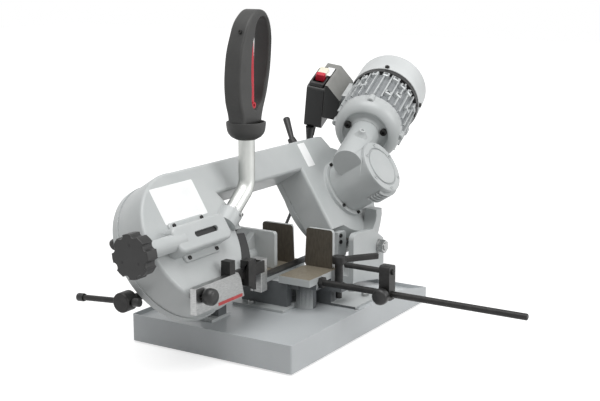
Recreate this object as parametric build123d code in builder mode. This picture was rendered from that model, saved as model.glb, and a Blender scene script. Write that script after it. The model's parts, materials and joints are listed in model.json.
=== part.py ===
from build123d import *
import os
from math import atan2, cos, degrees, pi, radians, sin, sqrt, tan

os.makedirs("parts", exist_ok=True)

# Metal cutting band saw, millimetres. X runs along the blade from the idler wheel to the hinge,
# Y along the stock, Z up from the surface under the foot pads, below the middle of the tray.

# Fits
running_fit = 0.05
free_gap = 0.3
slide_gap = 0.2

# Tray
tray_length = 520.0
tray_width = 345.0
tray_height = 51.0
tray_wall = 2.0
tray_corner = 4.0
rim_lip = 8.0
end_drop = 24.0
slope_start_x = 140.0
foot_height = 3.0
foot_radius = 14.0
foot_inset = 24.0
bench_hole_radius = 4.5
bench_pitch_x = tray_length - 2 * foot_inset
bench_pitch_y = tray_width - 2 * foot_inset
rim_z = foot_height + tray_height
deck_z = rim_z - rim_lip

# Bed and vice
bed_top = 113.0
table_thickness = 14.0
table_under = bed_top - table_thickness
slot_front_y = -29.0
slot_rear_y = -9.0
table_side_y = -97.0
table_rear_y = 78.0
table_front_x = -78.0
rail_front_x = -258.0
rail_start_x = -120.0
rail_side_y = 28.0
jaw_face_x = 13.0
jaw_plate = 8.0
jaw_height = 75.0
jaw_front_end_y = -92.0
jaw_rear_end_y = 67.0
jaw_back_x = jaw_face_x + jaw_plate
table_end_x = jaw_back_x + 26.0
bolt_radius = 4.0
bolt_head_radius = 7.5
bolt_head_height = 6.0
moving_face_x = -32.0
moving_plate = 10.0
moving_height = 71.0
moving_side_y = 3.0
moving_end_y = 112.0
spindle_y = 55.0
spindle_z = 135.0
spindle_radius = 7.0
spindle_end_x = -104.0
sleeve_radius = 13.0
sleeve_end_x = -165.0
nut_length = 22.0
bracket_width = 18.0
bracket_x = rail_front_x + bracket_width / 2
hub_radius = 17.0
hub_clear = 22.0
hub_length = 25.0
tee_radius = 5.0
tee_length = 130.0
tee_cap_radius = 7.0
tee_cap_length = 14.0
tee_tilt = 4.6
tee_shift = tee_length / 2 - hub_radius - tee_cap_length + 2.0

# Length stop
rod_x = -40.0
rod_z = 101.0
rod_radius = 6.0
rod_end_y = -503.0
rod_seat_y = -62.0
rod_nut_length = 9.0
stop_y = -236.5
stop_thickness = 21.0
stop_width = 24.0
stop_foot_z = 90.0
stop_top_z = 154.0
stop_pin_z = 142.0
stop_pin_radius = 5.0
stop_pin_end_y = -149.5
stop_knob_radius = 15.0
stop_knob_length = 20.0

# Swivel and hinge
swivel_x = jaw_face_x
swivel_y = -20.0
pivot_radius = 12.0
ring_radius = 32.0
arm_under = 57.0
arm_thickness = 26.0
hinge_x = 224.0
hinge_z = 113.0
hinge_pin_radius = 8.0
hinge_pin_length = 52.0
cheek_thickness = 12.0
cheek_front_y = -80.0
cheek_rear_y = 48.0
ear_gap = 2.0
front_ear_width = 28.0
rear_ear_width = 22.0
lock_x = 10.0
lock_y = -108.0
lock_post_radius = 8.0
lock_post_top = 142.0
lock_lug_z = 86.0
lever_length = 82.0
lever_turn = -36.0
lever_hub_radius = 13.0
lever_hub_height = 15.0

# Saw head, in a plane that leans back from the blade line
head_tilt = 32.0
blade_y = swivel_y
blade_z = 120.0
blade_width = 13.0
blade_thickness = 0.65
wheel_radius = 100.0
wheel_width = 22.0
wheel_lip = 2.0
idler_x = -279.0
drive_x = hinge_x
blade_bend = wheel_radius + free_gap + blade_thickness / 2
wheel_v = blade_bend
casting_back = -26.0
casting_front = 35.0
casting_wall = 6.0
drum_radius = 125.0
drive_drum_radius = 112.0
drive_taper = 30.0
drive_taper_start = 8.0
arm_step = 0.625
arm_top = wheel_v + drum_radius - arm_step
arm_low = 165.0
column_x = 113.0
column_low = 30.0
pocket_front = 16.0
window_gap = 3.0
drive_pocket_front = 12.5
drive_pocket_radius = 104.5
cover_depth = 12.0
cover_rim = 2.0
cover_wall = 2.0
hub_front_x = idler_x - drum_radius - hub_clear
tee_x = hub_front_x + hub_length / 2

# Blade guides
left_guide_x = -137.5
left_guide_length = 20.0
right_guide_x = 137.0
right_guide_length = 33.0
guide_low = 98.0
guide_top = 159.0
guide_side_y = -37.0
guide_rear_y = -13.0
blade_slot = 1.6
bar_inset = 36.0
bar_left_x = idler_x - drum_radius + bar_inset
bar_right_x = -239.0
bar_thickness = 12.0
bar_back_y = -45.0
bar_low = 116.0
bar_high = 162.0
guard_thickness = 18.0
guard_left_x = -213.0
guard_right_x = -190.0
guard_low = 117.0
guard_high = 174.0
guard_slant = 12.0
guard_link_low = 136.0
guard_link_high = 158.0
guard_link_thickness = 4.0
guard_link_lap = 6.0
guard_neck_low = 141.0
guard_neck_high = 160.0
clamp_block_x = -272.0
clamp_block_width = 16.0
clamp_block_height = 24.0
clamp_inset = 23.0
clamp_x = bar_left_x + clamp_inset
clamp_z = 145.0
clamp_stud_radius = 4.0
clamp_knob_radius = 14.5
clamp_knob_length = 22.0
clamp_slot_length = 36.0
clamp_slot_shift = 6.5

# Blade tension unit
tension_w = 51.5
housing_x = -291.0
housing_length = 147.0
housing_height = 48.0
housing_front = 64.0
housing_wall = 6.5
housing_face = 5.0
flange_length = 100.0
flange_height = 74.0
flange_thickness = 4.0
sleeve_x = -446.0
star_neck_radius = 11.0
tension_sleeve_radius = 14.5
tension_screw_radius = 6.0
tension_travel = 6.0
axle_radius = 12.0
star_radius = 37.0
star_length = 26.0
star_x = -476.0

# Gearbox and motor
gear_ring_radius = 62.0
gear_ring_front = 43.0
gear_radius = 54.0
gear_front = 132.0
gear_wall = 7.0
gear_cover_thickness = 8.0
worm_w = 101.0
worm_turn = 23.0
worm_offset = 53.0
worm_radius = 8.5
worm_wheel_width = 30.0
worm_tube_radius = 31.0
worm_tube_bore = 20.0
worm_tube_start = -38.0
shaft_radius = 14.0
motor_shaft_radius = 9.0
flange_s = 94.0
flange_radius = 71.0
bell_s = 102.0
stator_s = 135.0
stator_end_s = 250.0
stator_radius = 69.0
stator_bore = 40.0
rotor_gap = 1.5
fin_count = 28
fin_height = 7.0
fin_width = 3.0
shroud_s = 252.0
shroud_end_s = 330.0
shroud_radius = 79.0
shroud_wall = 2.0
fan_radius = 62.0
fan_s = 272.0
fan_width = 20.0
pad_reach = 80.0
pad_length = 64.0
terminal_reach = 117.0
terminal_width = 58.0
terminal_start_s = 173.0
terminal_end_s = 280.0
terminal_low = -30.0
terminal_high = 50.0
terminal_wing = 143.0
terminal_slope = 16.0
box_s = 215.0
switch_length = 84.0
switch_reach = 157.0
switch_top = 40.0
switch_low = -60.0
bezel_length = 76.0
bezel_width = 33.0
bezel_height = 8.0
button_width = 24.0
button_length = 27.0
button_height = 5.0
button_depth = 10.0

# Handle
tube_radius = 15.0
tube_seat = 5.0
tube_y = 10.0
tube_foot_x = -177.0
tube_foot_z = 241.0
tube_x = -122.0
tube_bend_z = 285.0
tube_bend_radius = 34.0
tube_top_z = 380.0
boss_radius = 21.0
collar_radius = 36.0
collar_low = 372.0
collar_high = 404.0
grip_half = 18.0
trigger_width = 28.0
trigger_x = -125.0
trigger_pivot_z = 432.0
trigger_top = 572.0
trigger_thickness = 9.0

# Cords
cord_diameter = 7.0
relief_length = 34.0
coil_turns = 3
coil_out_turns = 3.5
coil_outer = 50.0
coil_step = 8.5
coil_rise = 8.5
cable_diameter = 6.0

bottom = (Align.CENTER, Align.CENTER, Align.MIN)


def block(x0, x1, y0, y1, z0, z1, mode=Mode.ADD):
    """A box between two corners."""
    with Locations(((x0 + x1) / 2, (y0 + y1) / 2, (z0 + z1) / 2)):
        Box(x1 - x0, y1 - y0, z1 - z0, mode=mode)


def round_bar(start, direction, radius, length, mode=Mode.ADD):
    """A cylinder that starts at a point and runs along a direction."""
    with Locations(Plane(origin=start, z_dir=direction)):
        Cylinder(radius, length, align=bottom, mode=mode)


# The head's plane and the motor's line
lean = radians(head_tilt)
head_origin = Vector(0, blade_y, blade_z)
along = Vector(1, 0, 0)
upward = Vector(0, sin(lean), cos(lean))
outward = Vector(0, -cos(lean), sin(lean))
head_plane = Plane(origin=head_origin, x_dir=along, z_dir=outward)


def head_point(x, v, w):
    """A point of the head: along the blade, up the wheels, out of the front."""
    return head_origin + along * x + upward * v + outward * w


worm_rise = radians(worm_turn)
motor_line = along * cos(worm_rise) + upward * sin(worm_rise)
motor_side = upward * cos(worm_rise) - along * sin(worm_rise)
box_side = (motor_side - outward) * (1 / sqrt(2))
box_up = (motor_side + outward) * (1 / sqrt(2))
motor_origin = head_point(drive_x, wheel_v, worm_w) + motor_side * worm_offset


def motor_point(s, side, up):
    """A point of the motor: along its shaft, towards its box, and across."""
    return motor_origin + motor_line * s + box_side * side + box_up * up


def motor_plane(s):
    """The plane across the motor's shaft at a distance along it."""
    return Plane(origin=motor_point(s, 0, 0), x_dir=box_side, z_dir=motor_line)


def box_plane(side):
    """The plane across the line from the motor to its switch."""
    return Plane(origin=motor_point(box_s, side, 0), x_dir=motor_line * -1, z_dir=box_side)


# Tray with a deck below its rim and a lower end under the hinge
slope = end_drop / (tray_length / 2 - slope_start_x)
inner_x = tray_length / 2 - tray_wall
inner_y = tray_width / 2 - tray_wall
inner_drop = slope * (inner_x - slope_start_x)
drain_x = 1.0
drain_y = -152.0
bed_bolt_places = [(76, -129), (92, -90), (-81, 30), (-196, 52)]
with BuildPart() as tray:
    with BuildSketch(Plane.XZ) as tray_side:
        with BuildLine():
            Polyline(
                (-tray_length / 2, foot_height),
                (tray_length / 2, foot_height),
                (tray_length / 2, rim_z - end_drop),
                (slope_start_x, rim_z),
                (-tray_length / 2, rim_z),
                close=True,
            )
        make_face()
    extrude(amount=tray_width / 2, both=True)
    fillet(tray.edges().filter_by(Axis.Z), radius=tray_corner)
    with BuildSketch(Plane.XZ) as tray_inside:
        with BuildLine():
            Polyline(
                (-inner_x, deck_z),
                (slope_start_x, deck_z),
                (inner_x, deck_z - inner_drop),
                (inner_x, rim_z + 10),
                (-inner_x, rim_z + 10),
                close=True,
            )
        make_face()
    extrude(amount=inner_y, both=True, mode=Mode.SUBTRACT)
    with BuildSketch(Plane.XZ) as tray_underside:
        with BuildLine():
            Polyline(
                (-inner_x, foot_height),
                (inner_x, foot_height),
                (inner_x, deck_z - inner_drop - tray_wall),
                (slope_start_x, deck_z - tray_wall),
                (-inner_x, deck_z - tray_wall),
                close=True,
            )
        make_face()
    extrude(amount=inner_y, both=True, mode=Mode.SUBTRACT)
    gusset = 2 * foot_inset - tray_wall
    with Locations((0, 0, foot_height)):
        with GridLocations(2 * inner_x - gusset, 2 * inner_y - gusset, 2, 2):
            Box(gusset, gusset, tray_wall, align=bottom)
    with Locations((0, 0, foot_height + tray_wall)):
        with GridLocations(bench_pitch_x, bench_pitch_y, 2, 2):
            Hole(bench_hole_radius, depth=tray_wall)
    with Locations(*[(x, y, deck_z) for x, y in bed_bolt_places], (drain_x, drain_y, deck_z)):
        Hole(bolt_radius, depth=2 * tray_wall)
tray.part.label = "tray"
export_step(tray.part, "parts/tray.step")

with BuildPart() as tray_feet:
    with GridLocations(bench_pitch_x, bench_pitch_y, 2, 2):
        Cylinder(foot_radius, foot_height, align=bottom)
        Cylinder(bench_hole_radius, foot_height, align=bottom, mode=Mode.SUBTRACT)
tray_feet.part.label = "tray_feet"
export_step(tray_feet.part, "parts/tray_feet.step")

# Bed casting: split table, rail for the moving jaw, legs, feet and the lug of the mitre lock
foot_plate = 5.0
foot_rise = 8.0
jaw_bolt_x = jaw_back_x + 15.0
jaw_bolt_places = [(jaw_bolt_x, y) for y in (-83, -57, 33, 57)]
core_under = arm_under + arm_thickness + 2.0
boss_top = arm_under - 1.0
spindle_seat = bed_top + 6.0
with BuildPart() as bed:
    block(table_front_x, table_end_x, table_side_y, slot_front_y, table_under, bed_top)
    block(rail_start_x, table_end_x, slot_rear_y, table_rear_y, table_under, bed_top)
    block(rail_front_x, rail_start_x, rail_side_y, table_rear_y, table_under, bed_top)
    block(-60, table_end_x, -60, 40, core_under, table_under)
    block(-70, -50, -42, 60, deck_z, table_under)
    block(-93, -45, -48, 66, deck_z, deck_z + foot_plate)
    block(-185, -160, 32, 72, deck_z, table_under)
    block(-208, -150, 30, 74, deck_z, deck_z + foot_plate)
    block(-55, 40, -48, 12, deck_z, boss_top)
    block(0, 24, table_side_y, -62, deck_z, table_under)
    block(-6, 27, lock_y - 15, -70, lock_lug_z - 10, lock_lug_z)
    block(0, 105, -150, -62, deck_z, deck_z + foot_plate)
    block(rod_x - 14, rod_x + 14, table_side_y, rod_seat_y, rod_z - 13, table_under)
    with Locations((-33, -62, deck_z)):
        Cylinder(19, table_under - deck_z, align=bottom)
    fillet(bed.edges().filter_by(Axis.Z).group_by(Axis.X)[0], radius=6)
    round_bar((swivel_x, swivel_y, deck_z), (0, 0, 1), pivot_radius, 80, Mode.SUBTRACT)
    round_bar((rod_x, table_side_y, rod_z), (0, 1, 0), rod_radius, rod_seat_y - table_side_y, Mode.SUBTRACT)
    round_bar((lock_x, lock_y, 60), (0, 0, 1), lock_post_radius - 2, 60, Mode.SUBTRACT)
    for x, y in bed_bolt_places:
        round_bar((x, y, deck_z), (0, 0, 1), bolt_radius, foot_plate, Mode.SUBTRACT)
    for x, y in jaw_bolt_places:
        round_bar((x, y, bed_top - 2 * tray_wall), (0, 0, 1), bolt_radius, 2 * tray_wall, Mode.SUBTRACT)
bed.part.label = "bed"
export_step(bed.part, "parts/bed.step")

# Hex bolts that hold the feet of the bed and of the fixed jaws
hex_across = 13.0
bolt_seats = [(x, y, deck_z + foot_plate) for x, y in bed_bolt_places]
bolt_seats += [(x, y, bed_top + foot_rise) for x, y in jaw_bolt_places]
with BuildPart() as bed_bolts:
    for x, y, seat in bolt_seats:
        shank = foot_rise + 2 * tray_wall if seat > bed_top else foot_plate + tray_wall
        round_bar((x, y, seat - shank), (0, 0, 1), bolt_radius, shank)
        with BuildSketch(Plane.XY.offset(seat)) as bolt_head:
            with Locations((x, y)):
                RegularPolygon(hex_across / 2, 6, major_radius=False)
        extrude(amount=bolt_head_height)
bed_bolts.part.label = "bed_bolts"
export_step(bed_bolts.part, "parts/bed_bolts.step")

# Fixed jaws: upright plates on either side of the blade, each with a foot and a rib
jaw_lean = 4.0
jaw_top = bed_top + jaw_height
foot_depth = 24.0
rib_width = 10.0
jaw_round = 6.0


def fixed_jaw_plate(slot_y, end_y, side):
    """The plate's outline, narrower at the top beside the blade."""
    with BuildSketch(Plane.YZ.offset(jaw_face_x)) as plate:
        with BuildLine():
            Polyline(
                (slot_y, bed_top),
                (end_y, bed_top),
                (end_y, jaw_top),
                (slot_y + side * jaw_lean, jaw_top),
                close=True,
            )
        make_face()
        fillet(plate.vertices().group_by(Axis.Z)[-1], radius=jaw_round)
    return plate.sketch


def jaw_rib(y):
    """A triangular rib between the plate and its foot."""
    with BuildSketch(Plane.XZ.offset(-y)) as rib:
        with BuildLine():
            Polyline(
                (jaw_back_x, bed_top + foot_rise),
                (jaw_back_x + foot_depth, bed_top + foot_rise),
                (jaw_back_x, jaw_top - 12),
                close=True,
            )
        make_face()
    return rib.sketch


# The rear jaw's back corner is bevelled to clear the blade at a mitre
relief_depth = 7.5
relief_run = 9.5
rear_slot_y = slot_rear_y + 2
with BuildPart() as fixed_jaw_rear:
    extrude(fixed_jaw_plate(rear_slot_y, jaw_rear_end_y, 1), amount=jaw_plate)
    with BuildSketch(Plane.XY.offset(bed_top)) as blade_relief:
        with BuildLine():
            Polyline(
                (jaw_back_x - relief_depth, rear_slot_y),
                (jaw_back_x + relief_depth, rear_slot_y + 2 * relief_run),
                (jaw_back_x + relief_depth, rear_slot_y - relief_run),
                (jaw_back_x - 2 * relief_depth, rear_slot_y - relief_run),
                close=True,
            )
        make_face()
    extrude(amount=jaw_height, mode=Mode.SUBTRACT)
    block(jaw_back_x, jaw_back_x + foot_depth, 25, 65, bed_top, bed_top + foot_rise)
    extrude(jaw_rib(45), amount=rib_width / 2, both=True)
    for x, y in jaw_bolt_places[2:]:
        round_bar((x, y, bed_top), (0, 0, 1), bolt_radius, foot_rise, Mode.SUBTRACT)
fixed_jaw_rear.part.label = "fixed_jaw_rear"
export_step(fixed_jaw_rear.part, "parts/fixed_jaw_rear.step")

with BuildPart() as fixed_jaw_front:
    extrude(fixed_jaw_plate(slot_front_y - 1, jaw_front_end_y, -1), amount=jaw_plate)
    block(jaw_back_x, jaw_back_x + foot_depth, -91, -49, bed_top, bed_top + foot_rise)
    extrude(jaw_rib(-70), amount=rib_width / 2, both=True)
    for x, y in jaw_bolt_places[:2]:
        round_bar((x, y, bed_top), (0, 0, 1), bolt_radius, foot_rise, Mode.SUBTRACT)
fixed_jaw_front.part.label = "fixed_jaw_front"
export_step(fixed_jaw_front.part, "parts/fixed_jaw_front.step")

# Upright pivot of the swivel
with BuildPart() as pivot_pin:
    round_bar((swivel_x, swivel_y, deck_z), (0, 0, 1), pivot_radius, table_under - deck_z)
pivot_pin.part.label = "pivot_pin"
export_step(pivot_pin.part, "parts/pivot_pin.step")

# Bearing bracket of the vice spindle at the front of the rail
with BuildPart() as vice_bracket:
    block(rail_front_x, rail_front_x + bracket_width, spindle_y - 20, spindle_y + 22, bed_top, bed_top + 7)
    block(rail_front_x, rail_front_x + bracket_width, spindle_y - 9, spindle_y + 9, bed_top, spindle_z)
    round_bar((rail_front_x, spindle_y, spindle_z), (1, 0, 0), sleeve_radius, bracket_width)
    round_bar((rail_front_x, spindle_y, spindle_z), (1, 0, 0), spindle_radius + running_fit, bracket_width,
              Mode.SUBTRACT)
vice_bracket.part.label = "vice_bracket"
export_step(vice_bracket.part, "parts/vice_bracket.step")

# Moving jaw: plate, foot on the rail, rib and a sleeve that holds the nut over the spindle
moving_back_x = moving_face_x - moving_plate
moving_low = bed_top + slide_gap
moving_top = moving_low + moving_height
sleeve_bore = spindle_radius + 1.5
with BuildPart() as moving_jaw:
    with BuildSketch(Plane.YZ.offset(moving_back_x)) as moving_outline:
        with BuildLine():
            Polyline(
                (moving_side_y, moving_low),
                (moving_end_y, moving_low),
                (moving_end_y, moving_top),
                (moving_side_y, moving_top),
                close=True,
            )
        make_face()
        fillet(moving_outline.vertices().group_by(Axis.Z)[-1], radius=jaw_round)
    extrude(amount=moving_plate)
    block(moving_back_x - 56, moving_back_x, rail_side_y + 2, table_rear_y, moving_low, moving_low + 11)
    with BuildSketch(Plane.XZ.offset(-spindle_y)) as moving_rib:
        with BuildLine():
            Polyline(
                (moving_back_x, moving_low),
                (moving_back_x - 56, moving_low),
                (moving_back_x - 56, moving_low + 30),
                (moving_back_x, moving_top - 6),
                close=True,
            )
        make_face()
    extrude(amount=6, both=True)
    round_bar((sleeve_end_x, spindle_y, spindle_z), (1, 0, 0), sleeve_radius, moving_back_x - sleeve_end_x)
    round_bar((sleeve_end_x, spindle_y, spindle_z), (1, 0, 0), spindle_radius + free_gap, nut_length,
              Mode.SUBTRACT)
    round_bar((sleeve_end_x + nut_length, spindle_y, spindle_z), (1, 0, 0), sleeve_bore,
              moving_back_x - sleeve_end_x - nut_length, Mode.SUBTRACT)
moving_jaw.part.label = "moving_jaw"
export_step(moving_jaw.part, "parts/moving_jaw.step")

# Vice spindle with its hub and two collars against the bracket
collar_radius_spindle = 10.5
tee_axis = Vector(0, cos(radians(tee_tilt)), -sin(radians(tee_tilt)))
tee_centre = Vector(tee_x, spindle_y, spindle_z)
with BuildPart() as vice_spindle:
    round_bar((hub_front_x, spindle_y, spindle_z), (1, 0, 0), spindle_radius, spindle_end_x - hub_front_x)
    round_bar((hub_front_x, spindle_y, spindle_z), (1, 0, 0), hub_radius, hub_length)
    round_bar((rail_front_x - free_gap - 5, spindle_y, spindle_z), (1, 0, 0), collar_radius_spindle, 5)
    inner_collar = (rail_front_x + bracket_width + free_gap, spindle_y, spindle_z)
    round_bar(inner_collar, (1, 0, 0), collar_radius_spindle, 5)
    round_bar(tee_centre - tee_axis * 40, tee_axis, tee_radius + running_fit, 80, Mode.SUBTRACT)
    chamfer(vice_spindle.edges().filter_by(GeomType.CIRCLE).group_by(Axis.X)[0], length=2)
vice_spindle.part.label = "vice_spindle"
export_step(vice_spindle.part, "parts/vice_spindle.step")

tee_start = tee_centre + tee_axis * (tee_shift - tee_length / 2)
with BuildPart() as tee_bar:
    round_bar(tee_start, tee_axis, tee_radius, tee_length)
tee_bar.part.label = "tee_bar"
export_step(tee_bar.part, "parts/tee_bar.step")

with BuildPart() as tee_caps:
    for end in (0, tee_length - tee_cap_length + 3):
        cap_start = tee_start + tee_axis * (end - (3 if end == 0 else 0))
        round_bar(cap_start, tee_axis, tee_cap_radius, tee_cap_length)
    round_bar(tee_start, tee_axis, tee_radius, tee_length, Mode.SUBTRACT)
tee_caps.part.label = "tee_caps"
export_step(tee_caps.part, "parts/tee_caps.step")

# Length stop: rod with its nut, sliding bracket, clamp knob and stop pin
with BuildPart() as stop_rod:
    round_bar((rod_x, rod_end_y, rod_z), (0, 1, 0), rod_radius, rod_seat_y - rod_end_y)
    with BuildSketch(Plane.XZ.offset(-table_side_y)) as rod_nut:
        with Locations((rod_x, rod_z)):
            RegularPolygon(9.5, 6, major_radius=False)
    extrude(amount=rod_nut_length)
    chamfer(stop_rod.edges().filter_by(GeomType.CIRCLE).group_by(Axis.Y)[0], length=1.5)
stop_rod.part.label = "stop_rod"
export_step(stop_rod.part, "parts/stop_rod.step")

stop_left_x = rod_x - stop_width / 2
with BuildPart() as stop_bracket:
    block(stop_left_x, rod_x + stop_width / 2, stop_y - stop_thickness / 2, stop_y + stop_thickness / 2,
          stop_foot_z, stop_top_z)
    fillet(stop_bracket.edges().filter_by(Axis.Y), radius=6)
    stop_near_y = stop_y - stop_thickness / 2
    round_bar((rod_x, stop_near_y, rod_z), (0, 1, 0), rod_radius + running_fit, stop_thickness, Mode.SUBTRACT)
    round_bar((rod_x, stop_near_y, stop_pin_z), (0, 1, 0), stop_pin_radius + running_fit, stop_thickness,
              Mode.SUBTRACT)
    round_bar((stop_left_x, stop_y, rod_z), (1, 0, 0), bolt_radius + running_fit, stop_width / 2 - rod_radius,
              Mode.SUBTRACT)
stop_bracket.part.label = "stop_bracket"
export_step(stop_bracket.part, "parts/stop_bracket.step")

knob_gap = 2.0
with BuildPart() as stop_knob:
    knob_x = stop_left_x - knob_gap - stop_knob_length
    round_bar((knob_x, stop_y, rod_z), (1, 0, 0), stop_knob_radius, stop_knob_length)
    chamfer(stop_knob.edges().filter_by(GeomType.CIRCLE), length=2)
    round_bar((knob_x + stop_knob_length, stop_y, rod_z), (1, 0, 0), bolt_radius,
              knob_gap + stop_width / 2 - rod_radius - free_gap)
    for k in range(6):
        turn = radians(60 * k)
        reach = stop_knob_radius + 2.5
        round_bar((knob_x, stop_y + reach * cos(turn), rod_z + reach * sin(turn)), (1, 0, 0), 4.5,
                  stop_knob_length, Mode.SUBTRACT)
stop_knob.part.label = "stop_knob"
export_step(stop_knob.part, "parts/stop_knob.step")

with BuildPart() as stop_pin:
    round_bar((rod_x, stop_y - stop_thickness / 2 - 4, stop_pin_z), (0, 1, 0), stop_pin_radius,
              stop_pin_end_y - stop_y + stop_thickness / 2 + 4)
    chamfer(stop_pin.edges().filter_by(GeomType.CIRCLE), length=1)
stop_pin.part.label = "stop_pin"
export_step(stop_pin.part, "parts/stop_pin.step")

# Mitre lock: post in the lug of the bed and the lever on it
with BuildPart() as lock_post:
    round_bar((lock_x, lock_y, lock_lug_z - 26), (0, 0, 1), lock_post_radius - 2, 26)
    round_bar((lock_x, lock_y, lock_lug_z), (0, 0, 1), lock_post_radius, lock_post_top - lock_lug_z)
    round_bar((lock_x, lock_y, lock_lug_z), (0, 0, 1), lock_post_radius + 2.5, 4)
lock_post.part.label = "lock_post"
export_step(lock_post.part, "parts/lock_post.step")

lever_dir = Vector(cos(radians(lever_turn)), sin(radians(lever_turn)), 0)
lever_z = lock_post_top - lever_hub_height
lever_bar = 11.0
with BuildPart() as lock_lever:
    round_bar((lock_x, lock_y, lever_z), (0, 0, 1), lever_hub_radius, lever_hub_height)
    lever_plane = Plane(origin=(lock_x, lock_y, lever_z + 2), x_dir=lever_dir, z_dir=(0, 0, 1))
    with BuildSketch(lever_plane) as lever_plan:
        with Locations((lever_length / 2, 0)):
            Rectangle(lever_length, lever_bar)
        fillet(lever_plan.vertices().sort_by_distance((lock_x, lock_y, lever_z))[-2:], radius=4)
    extrude(amount=lever_bar)
    lever_bore = lock_post_radius + running_fit
    round_bar((lock_x, lock_y, lever_z), (0, 0, 1), lever_bore, lever_hub_height, Mode.SUBTRACT)
lock_lever.part.label = "lock_lever"
export_step(lock_lever.part, "parts/lock_lever.step")

# Swivel arm: ring on the pivot, arm, and two cheeks that carry the hinge
cheek_front_in = cheek_front_y + cheek_thickness
cheek_rear_in = cheek_rear_y - cheek_thickness
cheek_x = 116.0
arm_end_x = 236.0
arm_top_z = arm_under + 15
with BuildPart() as swivel_arm:
    round_bar((swivel_x, swivel_y, arm_under), (0, 0, 1), ring_radius, arm_thickness)
    block(swivel_x, cheek_x + 20, swivel_y - 26, swivel_y + 26, arm_under, arm_under + arm_thickness)
    block(cheek_x, arm_end_x, cheek_front_y, cheek_rear_y, arm_under, arm_top_z)
    with BuildSketch(Plane.XZ.offset(-cheek_front_in)) as front_cheek:
        with BuildLine():
            Polyline(
                (cheek_x, arm_under + 3),
                (hinge_x + 10, deck_z - 6),
                (hinge_x + 20, deck_z + 14),
                (hinge_x + 20, hinge_z + 13),
                (hinge_x - 26, hinge_z + 40),
                (cheek_x, hinge_z + 46),
                close=True,
            )
        make_face()
        fillet(front_cheek.vertices().group_by(Axis.Z)[-1], radius=14)
    extrude(amount=cheek_thickness)
    with BuildSketch(Plane.XZ.offset(-cheek_rear_y)) as rear_cheek:
        with BuildLine():
            Polyline(
                (cheek_x + 20, arm_under),
                (arm_end_x, arm_under),
                (hinge_x + 15, hinge_z),
                (hinge_x - 15, hinge_z),
                (cheek_x + 30, arm_top_z + 8),
                close=True,
            )
        make_face()
        with Locations((hinge_x, hinge_z)):
            Circle(20)
    extrude(amount=cheek_thickness)
    pivot_bore = pivot_radius + running_fit
    round_bar((swivel_x, swivel_y, arm_under), (0, 0, 1), pivot_bore, arm_thickness, Mode.SUBTRACT)
    round_bar((hinge_x, cheek_front_y, hinge_z), (0, 1, 0), hinge_pin_radius, cheek_thickness, Mode.SUBTRACT)
    round_bar((hinge_x, cheek_rear_in, hinge_z), (0, 1, 0), hinge_pin_radius, cheek_thickness, Mode.SUBTRACT)
swivel_arm.part.label = "swivel_arm"
export_step(swivel_arm.part, "parts/swivel_arm.step")

# Hinge pins, one through each cheek into the head's ears, and their nuts
front_ear_out = cheek_front_in + ear_gap
front_ear_in = front_ear_out + front_ear_width
rear_ear_out = cheek_rear_in - ear_gap
rear_ear_in = rear_ear_out - rear_ear_width
front_pin_y = front_ear_in - 6 - hinge_pin_length
rear_pin_y = rear_ear_in + 2
with BuildPart() as hinge_pins:
    for pin_y in (front_pin_y, rear_pin_y):
        round_bar((hinge_x, pin_y, hinge_z), (0, 1, 0), hinge_pin_radius, hinge_pin_length)
hinge_pins.part.label = "hinge_pins"
export_step(hinge_pins.part, "parts/hinge_pins.step")

nut_height = 11.0
washer = 3.0
with BuildPart() as hinge_nuts:
    for face_y, side in ((cheek_front_y, -1), (cheek_rear_y, 1)):
        round_bar((hinge_x, face_y, hinge_z), (0, side, 0), 15, washer)
        nut_plane = Plane(origin=(hinge_x, face_y + side * washer, hinge_z), z_dir=(0, side, 0))
        with BuildSketch(nut_plane) as nut_hex:
            RegularPolygon(12, 6, major_radius=False)
        extrude(amount=nut_height)
        nut_bore_length = washer + nut_height
        round_bar((hinge_x, face_y, hinge_z), (0, side, 0), hinge_pin_radius, nut_bore_length, Mode.SUBTRACT)
hinge_nuts.part.label = "hinge_nuts"
export_step(hinge_nuts.part, "parts/hinge_nuts.step")

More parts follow.
